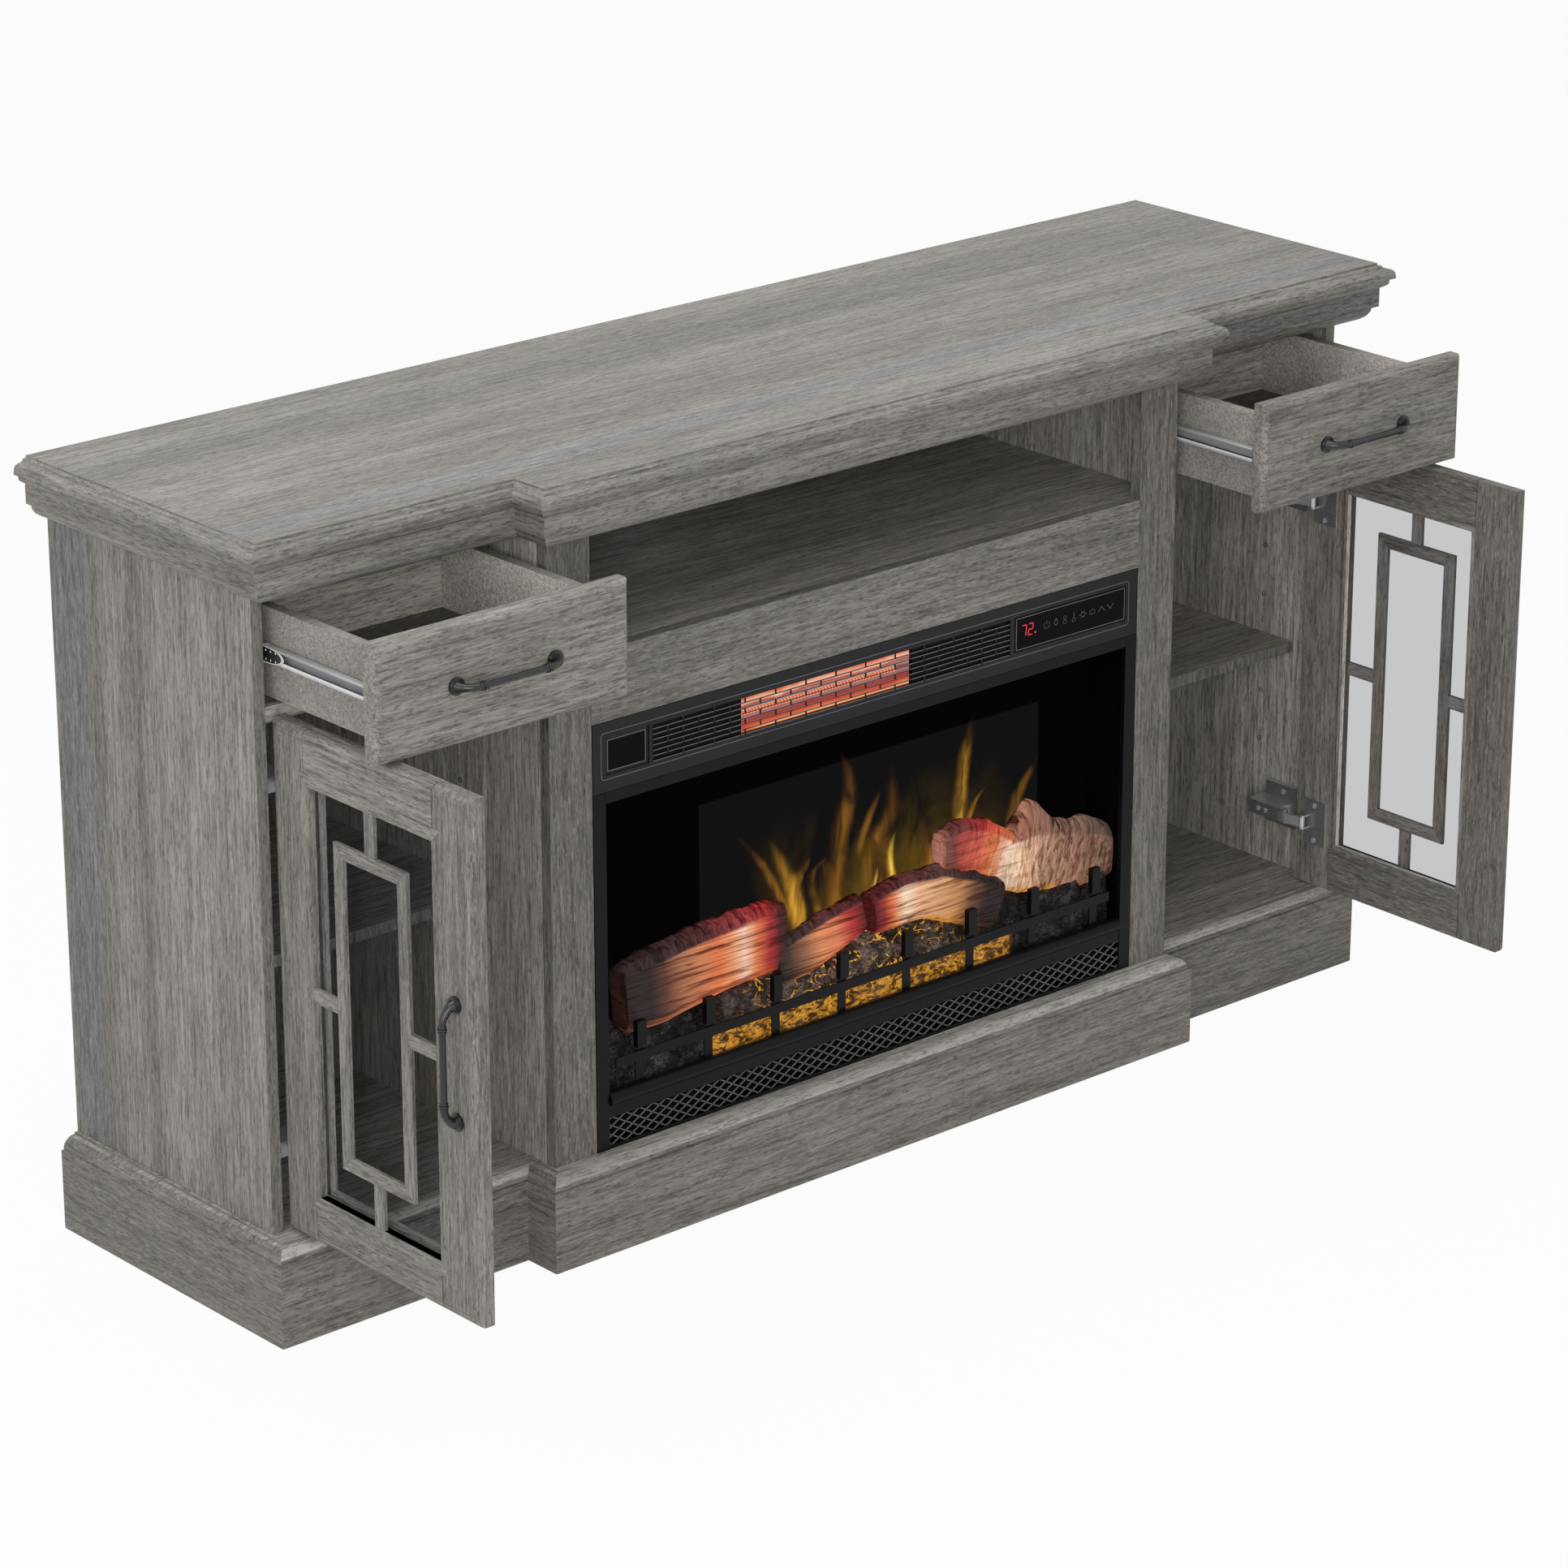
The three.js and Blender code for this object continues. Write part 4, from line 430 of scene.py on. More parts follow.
# Cupboard inner faces and partition: the same oak painted far paler, as painted light inside the shaded
# cupboards.
oak_inside_painted_light = oak_finish("oak_inside_painted_light", "z", (9.3, 2.4, 6.2), (0.62, 0.585, 0.537), (0.43, 0.406, 0.372), 1.6,
                        cool=0.4)
oak_stile = oak_finish("oak_stile", "z", (2.4, 6.1, 4.0), OAK_LIGHT, OAK_DARK, 1.4, cool=0.2)
oak_rail = oak_finish("oak_rail", "y", (7.7, 1.1, 5.8), OAK_LIGHT, OAK_DARK, 1.4, cool=0.2)
# The right door's boards: the same oak painted darker, as painted shade.
oak_stile_right = oak_finish("oak_stile_right", "z", (6.4, 3.1, 8.0), SHADED, SHADED_DARK, 1.4, cool=0.2)
oak_rail_right = oak_finish("oak_rail_right", "y", (3.7, 5.1, 2.8), SHADED, SHADED_DARK, 1.4, cool=0.2)
oak_stile_painted_light_back = oak_finish("oak_stile_painted_light_back", "z", (6.4, 3.1, 8.0), LIT_BEHIND_GLASS_PALE, LIT_BEHIND_GLASS_DARK, 1.0, cool=0.2)
oak_rail_painted_light_back = oak_finish("oak_rail_painted_light_back", "y", (3.7, 5.1, 2.8), LIT_BEHIND_GLASS_PALE, LIT_BEHIND_GLASS_DARK, 1.0, cool=0.2)
oak_tray = oak_finish("oak_tray", "x", (3.5, 8.0, 0.6), (0.43, 0.406, 0.37), (0.34, 0.321, 0.293), 0.8,
                      cool=0.2)
# Inner faces of the tray walls: painted much paler, as painted light inside the open drawers.
tray_inside_painted_light = oak_finish("tray_inside_painted_light", "x", (7.5, 2.0, 3.6), (0.9, 0.86, 0.79), (0.72, 0.68, 0.62), 1.0,
                         cool=0.2)
tray_dark = oak_finish("tray_dark", "x", (2.2, 6.6, 1.1), (0.16, 0.146, 0.136), (0.115, 0.105, 0.098), 0.7)
oak_edge_side = oak_finish("oak_edge_side", "y", (2.1, 5.5, 3.3), (0.37, 0.349, 0.319), (0.265, 0.25, 0.229),
                           1.1, cool=0.3)
oak_front_side = oak_finish("oak_front_side", "y", (5.1, 2.5, 1.3), (0.3, 0.283, 0.259),
                            (0.215, 0.203, 0.186), 1.1, cool=0.3)
# Pale oak on the bottom board's rounded nose: a painted highlight along the edge.
oak_round_painted_highlight = oak_finish("oak_round_painted_highlight", "x", (2.7, 1.4, 5.0), (0.8, 0.765, 0.71), (0.5, 0.475, 0.44), 0.6,
                       cool=0.1)
edge_strip = oak_finish("edge_strip", "z", (0.6, 4.4, 7.0), (0.29, 0.275, 0.25), (0.255, 0.242, 0.222), 0.3,
                        cool=0.1)
# Dark oak for the quirk line on the doors: painted shade.
oak_line_painted_shade = oak_finish("oak_line_painted_shade", "z", (1.4, 3.1, 8.0), (0.12, 0.113, 0.104), (0.085, 0.08, 0.073), 0.6)

ROLLED = (300, 60, 300)
satin_black = metal_finish("satin_black_steel", (0.004, 0.0042, 0.0052), 0.36, 0.0, 0.12, shine=0.13)
bar_black = metal_finish("bar_black_steel", (0.009, 0.0094, 0.0112), 0.4, 0.0, 0.12, shine=0.22)
matt_black = metal_finish("matt_black_steel", (0.0022, 0.0022, 0.0025), 0.8, 0.0, 0.1, shine=0.03)
lattice_grey = metal_finish("lattice_dark_grey", (0.085, 0.087, 0.09), 0.3, 0.2, 0.1, shine=0.6)
slot_black = metal_finish("slot_black_steel", (0.0045, 0.0046, 0.005), 0.6, 0.0, 0.1, shine=0.1)
bronze = metal_finish("dark_bronze", (0.014, 0.0147, 0.0155), 0.24, 0.3, 0.15, (700, 700, 700), shine=0.75)
chrome = metal_finish("hinge_nickel", (0.62, 0.62, 0.63), 0.24, 0.5, 0.04)
# Darker copy of the hinge nickel, for painted shade on the faces turned from the lamps.
nickel = metal_finish("hinge_dark_nickel", (0.3, 0.3, 0.305), 0.28, 0.5, 0.06)
zinc = metal_finish("slide_zinc", (0.56, 0.57, 0.59), 0.34, 0.35, 0.04, ROLLED, 0)
# Pale zinc for painted highlights on the slide rims. Dark zinc for the ball cages, and as painted shade in the
# slide groove.
zinc_painted_highlight = metal_finish("slide_bright_zinc", (0.9, 0.9, 0.91), 0.3, 0.1, 0.03, ROLLED, 0)
dark_zinc_and_groove_shade = metal_finish("cage_dark_zinc", (0.06, 0.06, 0.065), 0.3, 0.8, 0.1)
white_plastic = metal_finish("white_retainer", (0.72, 0.71, 0.67), 0.4, 0.0, 0.03)
aluminium = metal_finish("bright_aluminium", (0.75, 0.75, 0.77), 0.2, 1.0, 0.05)
window_black = metal_finish("window_black", (0.0035, 0.0038, 0.0045), 0.22, 0.0, 0.1, (60, 60, 60), 0,
                            shine=0.04)
# Lighter grey for the raised outlines on the control bar: painted highlights along their edges.
rim_highlight_grey = metal_finish("rim_highlight_grey", (0.12, 0.125, 0.135), 0.35, 0.3, 0.1)
# Pale grey for the slot lips: painted highlights.
lip_highlight_grey = metal_finish("lip_highlight_grey", (0.22, 0.225, 0.235), 0.35, 0.2, 0.1)
smoked_glass = glass_finish("smoked_glass", (0.79, 0.79, 0.795), 0.4)
screen_gloss = screen_finish()
log_glow = log_finish()
ember_relief = ember_finish()
reflector = heater_finish()
tube_glow = tube_finish()
red_figures = glowing_finish("red_figures", (0.9, 0.014, 0.03), 1.1)
dim_signs = glowing_finish("dim_signs", (0.036, 0.038, 0.044), 1.0)
flame_yellow = flame_finish("flame_yellow", (0.2, 0.085, 0.01), (0.66, 0.33, 0.036), 1.08)
flame_amber = flame_finish("flame_amber", (0.085, 0.036, 0.008), (0.25, 0.11, 0.016), 0.95)
flame_bright = flame_finish("flame_bright", (0.38, 0.2, 0.02), (1.0, 0.68, 0.09), 1.1)


# ---------------------------------------------------------------- modelling helpers
def only(piece):
    """Selects one object and makes it active, in object mode."""
    if bpy.context.object and bpy.context.object.mode != "OBJECT":
        bpy.ops.object.mode_set(mode="OBJECT")
    bpy.ops.object.select_all(action="DESELECT")
    piece.select_set(True)
    bpy.context.view_layer.objects.active = piece
    return piece


def settled(piece, **settings):
    """Sets the object's place, turn or scale, and puts them into its mesh."""
    for key, value in settings.items():
        setattr(piece, key, value)
    only(piece)
    bpy.ops.object.transform_apply(location=True, rotation=True, scale=True)
    return piece


def spot(x, depth, z):
    """Point from millimetres: across, forward of the back plane, and up."""
    return Vector((x / 1000, BACK - depth / 1000, z / 1000))


def board(name, low, high):
    """Box between two corners, which the later steps shape."""
    bpy.ops.object.select_all(action="DESELECT")
    bpy.ops.mesh.primitive_cube_add(size=1, location=(low + high) / 2)
    piece = bpy.context.object
    piece.name = name
    return settled(piece, scale=[max(abs(part), 1e-5) for part in high - low])


def block(name, x0, x1, depth0, depth1, z0, z1):
    """Box from millimetres: across, depths forward of the back plane, and up."""
    low, high = spot(min(x0, x1), max(depth0, depth1), z0), spot(max(x0, x1), min(depth0, depth1), z1)
    return board(name, low, high)


def cylinder(name, radius, depth, place, turn, sides=32, scale=(1, 1, 1)):
    bpy.ops.object.select_all(action="DESELECT")
    bpy.ops.mesh.primitive_cylinder_add(vertices=sides, radius=radius, depth=depth, location=place,
                                        rotation=turn)
    piece = bpy.context.object
    piece.name = name
    return settled(piece, scale=scale)


def grid(name, columns, rows):
    """Flat sheet from -1 to 1 both ways, whose corners are then placed one by one."""
    bpy.ops.object.select_all(action="DESELECT")
    bpy.ops.mesh.primitive_grid_add(x_subdivisions=columns, y_subdivisions=rows, size=2, calc_uvs=True)
    piece = bpy.context.object
    piece.name = name
    return piece


def with_modifier(piece, kind, **settings):
    """Adds a modifier and applies it."""
    only(piece)
    modifier = piece.modifiers.new("step", kind)
    for key, value in settings.items():
        setattr(modifier, key, value)
    bpy.ops.object.modifier_apply(modifier=modifier.name)
    return piece


def without(piece, cutter):
    """Cuts one closed shape out of another."""
    with_modifier(piece, "BOOLEAN", operation="DIFFERENCE", object=cutter, solver="EXACT")
    bpy.data.objects.remove(cutter)
    return piece


def evened(piece):
    return with_modifier(piece, "WEIGHTED_NORMAL", weight=100, keep_sharp=True)


def smoothed(piece, angle=38):
    """Smooth shading that leaves the broad faces flat and the sharp edges sharp."""
    only(piece)
    bpy.ops.object.shade_smooth_by_angle(angle=math.radians(angle))
    return evened(piece)


def eased(piece, width=0.0006, segments=2, angle=45, shading=24):
    """Breaks the sharp edges, as sanding does."""
    with_modifier(piece, "BEVEL", width=width, segments=segments, limit_method="ANGLE",
                  angle_limit=math.radians(angle), use_clamp_overlap=True)
    return smoothed(piece, shading)


def pick(piece, kind, test):
    """In edit mode, selects the edges or faces whose middle and direction pass the test."""
    only(piece)
    bpy.ops.object.mode_set(mode="EDIT")
    bpy.ops.mesh.select_mode(type=kind)
    bpy.ops.mesh.select_all(action="DESELECT")
    mesh = bmesh.from_edit_mesh(piece.data)
    if kind == "FACE":
        for face in mesh.faces:
            face.select_set(test(face.calc_center_median(), face.normal))
    else:
        for edge in mesh.edges:
            start, end = [corner.co for corner in edge.verts]
            edge.select_set(test((start + end) / 2, (end - start).normalized()))
    mesh.select_flush_mode()
    bmesh.update_edit_mesh(piece.data)


def done(piece):
    bpy.ops.object.mode_set(mode="OBJECT")
    return piece


def stepped(piece, test, *steps):
    """Insets the faces that pass the test, then moves them, once for each (inset, move)."""
    pick(piece, "FACE", test)
    for width, move in steps:
        bpy.ops.mesh.inset(thickness=width)
        bpy.ops.mesh.extrude_region_move(TRANSFORM_OT_translate={"value": move})
    return done(piece)


def rounded(piece, test, radius, segments=7):
    """Rounds over the edges that pass the test."""
    pick(piece, "EDGE", test)
    bpy.ops.mesh.bevel(offset=radius, segments=segments, profile=0.5, affect="EDGES")
    return done(piece)


def merged(piece, threshold):
    """Goes to edit mode with everything selected and its doubles merged."""
    only(piece)
    if piece.data.has_custom_normals:
        bpy.ops.mesh.customdata_custom_splitnormals_clear()
    bpy.ops.object.mode_set(mode="EDIT")
    bpy.ops.mesh.select_all(action="SELECT")
    bpy.ops.mesh.remove_doubles(threshold=threshold)


def facing_out(piece):
    """Doubles merged and normals recalculated."""
    merged(piece, 1e-6)
    bpy.ops.mesh.normals_make_consistent(inside=False)
    return done(piece)


def joined(name, *pieces):
    """Several meshes as one object."""
    bpy.ops.object.select_all(action="DESELECT")
    for piece in pieces:
        piece.select_set(True)
    bpy.context.view_layer.objects.active = pieces[0]
    if len(pieces) > 1:
        bpy.ops.object.join()
    pieces[0].name = name
    return pieces[0]


def painted(piece, finish, *others):
    """Gives a piece its finish, and each (finish, test) of the others to the faces whose normal passes."""
    piece.data.materials.clear()
    for item in [finish] + [other for other, _ in others]:
        piece.data.materials.append(item)
    if others:
        for face in piece.data.polygons:
            passed = [index for index, (_, test) in enumerate(others, 1) if test(face.normal)]
            face.material_index = max(passed, default=0)
    return piece


def fitted(piece, body, finish, slot, *nodes):
    """Gives a piece its finish and body, and hides the CAD nodes it stands for. The slot is not used."""
    if finish is not None:
        painted(piece, finish)
    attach(piece, body)
    if nodes:
        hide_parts(*nodes)
    return piece


def right_twin(piece):
    """Mirror image of a left piece, in its own mesh."""
    only(piece)
    bpy.ops.object.duplicate()
    twin = bpy.context.object
    twin.name = piece.name.replace("left", "right")
    return evened(facing_out(settled(twin, scale=(-1, 1, 1))))


def fitted_pair(piece, body, finish, slot, *nodes, right_finish=None):
    """Fits a left piece and its right twin. Body and node names hold left where they differ."""
    if finish is not None:
        painted(piece, finish)
    twin = right_twin(piece)
    fitted(piece, body, None, slot, *nodes)
    fitted(twin, body.replace("left", "right"), right_finish, slot,
           *[node.replace("left", "right") for node in nodes])


def cad_copy(node, name, width=0.0006, angle=45):
    """Merged copy of a CAD node with eased edges, from which the finished piece is made."""
    bpy.ops.object.select_all(action="DESELECT")
    piece = bpy.data.objects.new(name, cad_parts[node].data.copy())
    bpy.context.scene.collection.objects.link(piece)
    merged(piece, 2e-6)
    bpy.ops.mesh.dissolve_limited(angle_limit=math.radians(0.6))
    return eased(done(piece), width, angle=angle)


# ---------------------------------------------------------------- carcass
def make_carcass():
    def to_side(normal):
        return abs(normal.x) > 0.6

    def to_side_of_top(normal):
        return abs(normal.x) > 0.6 or (abs(normal.x) > 0.3 and abs(normal.x) > abs(normal.y))

    front_side = (oak_front_side, to_side)
    bottom_top = (oak_shelf_painted_light, lambda normal: normal.z > 0.94)
    # The rounded nose of the bottom board gets the painted highlight.
    nose_highlight = (oak_round_painted_highlight, lambda normal: 0.45 < normal.z <= 0.94 and normal.y < -0.1)
    boards = [
        ("top_board", "top_board_moulded", 0.0004, 32, oak_top, (oak_edge_side, to_side_of_top)),
        ("crown_frame", "crown_moulded", 0.0004, 32, oak_edge, (oak_edge_side, to_side)),
        ("bottom_board", "bottom_board_rounded", 0.0005, 32, oak_front, front_side, bottom_top, nose_highlight),
        ("plinth_frame", "plinth_boards", 0.0012, 45, oak_front, front_side),
        ("plinth_support_rail", "plinth_middle_rail", 0.0006, 45, oak_front, front_side),
        ("back_panel", "back_board", 0.0005, 45, oak_upright),
        ("media_shelf", "media_shelf_board", 0.0006, 45, oak_shelf_painted_light),
        ("mantel_rail", "mantel_rail_board", 0.0005, 45, oak_front, front_side),
    ]
    for node, name, width, angle, *finishes in boards:
        fitted(painted(cad_copy(node, name, width, angle), *finishes), "cabinet", None, "grey_oak", node)

    # The side panels' inner faces get the paler oak, as painted light.
    inner_face = (oak_inside_painted_light, lambda normal: normal.x > 0.9)
    front_edge = (edge_strip, lambda normal: normal.y < -0.9)
    shelf_top = (oak_shelf_painted_light, lambda normal: normal.z > 0.9)
    pairs = [
        ("side_panel_left", "side_board_left", oak_side, inner_face, front_edge),
        ("partition_left", "partition_board_left", oak_inside_painted_light),
        ("pilaster_left", "pilaster_board_left", oak_upright),
        ("drawer_divider_left", "divider_board_left", oak_shelf_painted_light),
        ("cupboard_shelf_left", "shelf_board_left", oak_upright, shelf_top),
    ]
    for node, name, *finishes in pairs:
        fitted_pair(painted(cad_copy(node, name), *finishes), "cabinet", None, "grey_oak", node)


def make_pin_holes():
    """Rows of shelf pin holes, as shallow discs let into the cupboard walls, painted matt black as painted
    shade inside the holes.
    """
    places = [(depth, height) for depth in (249.5, 60) for height in (414.9, 301.4, 472, 244.4)]
    for wall, face, out in (("side", -713.6, 1), ("partition", -425, -1)):
        holes = []
        for depth, height in places:
            hole = cylinder("hole", 0.0026, 0.0008, spot(face, depth, height), ACROSS_X, sides=20)
            holes.append(stepped(hole, lambda middle, normal: normal.x * out > 0.9,
                                 (0.0005, (-0.0006 * out, 0, 0))))
        ring = joined(f"pin_holes_{wall}_left", *holes)
        fitted_pair(smoothed(ring), "cabinet", matt_black, "grey_oak")


# ---------------------------------------------------------------- drawers and pulls
def make_drawers():
    low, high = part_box("drawer_front_left")
    face = board("drawer_face_left", low + Vector((0, 0.0006, 0)), high)
    rim_y = min(corner.co.y for corner in face.data.vertices)
    rounded(face, lambda middle, way: abs(middle.y - rim_y) < 1e-6, 0.0077)
    stepped(face, lambda middle, normal: normal.y < -0.99 and abs(middle.y - rim_y) < 1e-5,
            (0.0003, (0, -0.0006, 0)))
    smoothed(face, 30)
    fitted_pair(face, "drawer_left", oak_drawer, "grey_oak", "drawer_front_left")

    low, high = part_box("drawer_tray_left")
    wall, groove, drop = 0.012, 0.004, 0.0004
    sheet_low, sheet_high = 0.013, 0.018
    walls = [
        ("tray_side_outer_left", low, (low.x + wall, high.y, high.z), (1, 0, 0)),
        ("tray_side_inner_left", (high.x - wall, low.y, low.z), high, (-1, 0, 0)),
        ("tray_back_left", (low.x + wall, high.y - wall, low.z), (high.x - wall, high.y, high.z - drop),
         (0, -1, 0)),
        ("tray_front_left", (low.x + wall, low.y, low.z), (high.x - wall, low.y + wall, high.z - drop),
         (0, 1, 0)),
    ]
    nodes = ["drawer_tray_left"]
    for name, first, second, inwards in walls:
        piece = eased(board(name, Vector(first), Vector(second)), 0.0009)
        painted(piece, oak_tray, (tray_inside_painted_light, lambda normal: normal.dot(Vector(inwards)) > 0.9))
        fitted_pair(piece, "drawer_left", None, "tray_board", *nodes)
        nodes = []
    sheet = board("tray_bottom_left",
                  Vector((low.x + wall - groove, low.y + groove, low.z + sheet_low)),
                  Vector((high.x - wall + groove, high.y - groove, low.z + sheet_high)))
    fitted_pair(eased(sheet, 0.0009), "drawer_left", tray_dark, "tray_board")


def bar_pull(name):
    """Bow pull along X at the origin, standing out towards -Y: tapered legs, ringed collars, domed roses."""
    half, reach, collars = 0.058, 0.016, 0.038
    bpy.ops.object.select_all(action="DESELECT")
    bpy.ops.curve.primitive_nurbs_path_add()
    rod = bpy.context.object
    path = rod.data
    path.splines.clear()
    line = path.splines.new("NURBS")
    stations = [
        (-half, 0.0, 1.75), (-half, 0.0022, 1.7), (-half + 0.0012, 0.0075, 1.15),
        (-half + 0.0065, 0.0128, 0.98), (-0.0445, 0.0158, 0.95), (-0.0385, reach, 0.95),
        (-0.030, reach, 0.88), (0.0, reach, 0.86),
    ]
    stations += [(-x, out, size) for x, out, size in reversed(stations[:-1])]
    line.points.add(len(stations) - 1)
    for point, (x, out, size) in zip(line.points, stations):
        point.co = (x, -out, 0, 1)
        point.radius = size
    line.order_u = 3
    line.use_endpoint_u = True
    line.resolution_u = 6
    path.dimensions = "3D"
    path.bevel_depth = 0.0039
    path.bevel_resolution = 5
    path.use_fill_caps = True
    only(rod)
    bpy.ops.object.convert(target="MESH")
    parts = [bpy.context.object]
    for side in (-1, 1):
        rose = cylinder("rose", 0.0088, 0.0026, (side * half, -0.0013, 0), ACROSS_Y, sides=40)
        stepped(rose, lambda middle, normal: normal.y < -0.9,
                (0.0014, (0, -0.0012, 0)), (0.0022, (0, -0.0008, 0)))
        parts.append(eased(rose, 0.0006, 3, 30))
        for step, radius in ((-0.0027, 0.0043), (0.0, 0.0047), (0.0027, 0.0043)):
            ring = cylinder("ring", radius, 0.0022, (side * (collars + step), -reach, 0), ACROSS_X)
            parts.append(eased(ring, 0.0008, 3, 30))
    return smoothed(joined(name, *parts), 50)


def make_pulls():
    low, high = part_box("drawer_pull_left")
    pull = settled(bar_pull("drawer_handle_left"),
                   location=((low.x + high.x) / 2, high.y, (low.z + high.z) / 2))
    fitted_pair(pull, "drawer_left", bronze, "dark_bronze", "drawer_pull_left")

    low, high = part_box("door_pull_left")
    pull = settled(bar_pull("door_handle_left"), rotation_euler=ACROSS_X)
    settled(pull, rotation_euler=(0, 0, -math.pi / 2))
    settled(pull, location=(high.x, (low.y + high.y) / 2, (low.z + high.z) / 2))
    fitted_pair(pull, "door_left", bronze, "dark_bronze", "door_pull_left")


# ---------------------------------------------------------------- doors, built open as they rest
DOOR_LOW, DOOR_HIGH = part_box("door_frame_left")
DOOR_FACE = DOOR_LOW.x
DOOR_THICK = 0.018
HINGE_EDGE = DOOR_HIGH.y
STILE = (oak_stile, oak_stile_right, oak_stile_painted_light_back)
RAIL = (oak_rail, oak_rail_right, oak_rail_painted_light_back)
SIDES = {"hinge": STILE, "free": STILE, "top": RAIL, "foot": RAIL}


def door_board(name, u0, u1, z0, z1, w0=0.0, w1=18.0):
    """Board of the open left door, from millimetres: from the hinge edge, up, and in from the face."""
    return board(name, Vector((DOOR_FACE + w0 / 1000, HINGE_EDGE - u1 / 1000, z0 / 1000)),
                 Vector((DOOR_FACE + w1 / 1000, HINGE_EDGE - u0 / 1000, z1 / 1000)))


def rounded_door_board(name, u0, u1, z0, z1, *outer):
    """Door board whose named outer edges are rounded over on the face side."""
    places = {"hinge": (1, HINGE_EDGE - u0 / 1000), "free": (1, HINGE_EDGE - u1 / 1000),
              "top": (2, z1 / 1000), "foot": (2, z0 / 1000)}

    def outer_edge(middle, way):
        return abs(middle.x - DOOR_FACE) < 1e-6 and any(
            abs(middle[axis] - place) < 1e-6 for axis, place in [places[side] for side in outer])

    piece = rounded(door_board(name, u0, u1, z0, z1), outer_edge, 0.0085)
    return eased(piece, 0.0004, angle=60, shading=34)


def mitred_bar(name, side, u0, u1, z0, z1, w0, w1, width):
    """One bar of a mitred frame that fills u0..u1 and z0..z1; side says which."""
    if side in ("hinge", "free"):
        first, last = (u0, u0 + width) if side == "hinge" else (u1 - width, u1)
        piece = door_board(name, first, last, z0, z1, w0, w1)
        inner = HINGE_EDGE - (last if side == "hinge" else first) / 1000
        across, along, middle = 1, 2, (z0 + z1) / 2000
    else:
        first, last = (z0, z0 + width) if side == "foot" else (z1 - width, z1)
        piece = door_board(name, u0, u1, first, last, w0, w1)
        inner = (last if side == "foot" else first) / 1000
        across, along, middle = 2, 1, HINGE_EDGE - (u0 + u1) / 2000
    for corner in piece.data.vertices:
        if abs(corner.co[across] - inner) < 1e-6:
            corner.co[along] += (width if corner.co[along] < middle else -width) / 1000
    return eased(piece, 0.0003)


def make_doors():
    bottom, top, wide = 104.0, 626.5, 299.0
    boards = [
        ("door_stile_free_left", 243.9, wide, bottom, top, "free", "top", "foot"),
        ("door_rail_top_left", 50.3, 243.2, top - 54, top, "top"),
        ("door_rail_foot_left", 50.3, 243.2, bottom, bottom + 51, "foot"),
    ]
    stile = rounded_door_board("door_stile_hinge_left", 0, 49.6, bottom, top, "hinge", "top", "foot")
    fitted_pair(stile, "door_left", oak_stile, "grey_oak", "door_frame_left")
    for name, u0, u1, z0, z1, *outer in boards:
        finish, right, _ = SIDES[outer[0]]
        piece = rounded_door_board(name, u0, u1, z0, z1, *outer)
        fitted_pair(piece, "door_left", finish, "grey_oak", right_finish=right)

    # Inner mitred strip around the glass, a hair proud of the boards.
    glass = (56, 243, 155, 572.5)
    strip = 13.4
    for side, (finish, right, _) in SIDES.items():
        piece = mitred_bar(f"door_strip_{side}_left", side, glass[0] - strip, glass[1] + strip,
                           glass[2] - strip, glass[3] + strip, -0.35, 8.9, strip)
        fitted_pair(piece, "door_left", finish, "grey_oak", right_finish=right)

    # Lattice in front of the glass: an upright ring and its four stubs. Their faces behind the glass are
    # painted paler, as painted light where the glass dims them.
    middle_u, middle_z, half = 149.0, 364.1, 7.4
    bars = [(side, mitred_bar(f"door_ring_{side}_left", side, 93.7, 204.3, 198.6, 529.6, -0.1, 4.0, 2 * half))
            for side in SIDES]
    stubs = [("top", "stub_hinge", 56, 93.6, middle_z - half, middle_z + half),
             ("top", "stub_free", 204.4, 243, middle_z - half, middle_z + half),
             ("free", "stub_foot", middle_u - half, middle_u + half, 155, 198.5),
             ("free", "stub_top", middle_u - half, middle_u + half, 529.7, 572.5)]
    bars += [(side, eased(door_board(f"door_{name}_left", u0, u1, z0, z1, 0, 4.0), 0.0003))
             for side, name, u0, u1, z0, z1 in stubs]
    for side, piece in bars:
        finish, _, back = SIDES[side]
        painted(piece, finish, (back, lambda normal: normal.x > 0.9))
        fitted_pair(piece, "door_left", None, "grey_oak")

    # Fine quirk line inside the rounded outer edges: a thin dark strip, painted shade in the quirk.
    lines = [mitred_bar("line", side, 9.2, 289.8, 113.2, 617.3, -0.04, 0.4, 0.7)
             for side in ("free", "top", "foot")]
    fitted_pair(joined("door_quirk_left", *lines), "door_left", oak_line_painted_shade, "grey_oak")

    # Bead that holds the glass from behind. All its faces but the one facing +X are painted paler, as painted
    # light where the glass dims them.
    for side, (finish, _, back) in SIDES.items():
        piece = mitred_bar(f"door_bead_{side}_left", side, *glass, 12.2, 17.6, 4.5)
        painted(piece, finish, (back, lambda normal: normal.x < 0.9))
        fitted_pair(piece, "door_left", None, "grey_oak")
    for side in ("left", "right"):
        painted(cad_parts[f"door_glass_{side}"], smoked_glass)


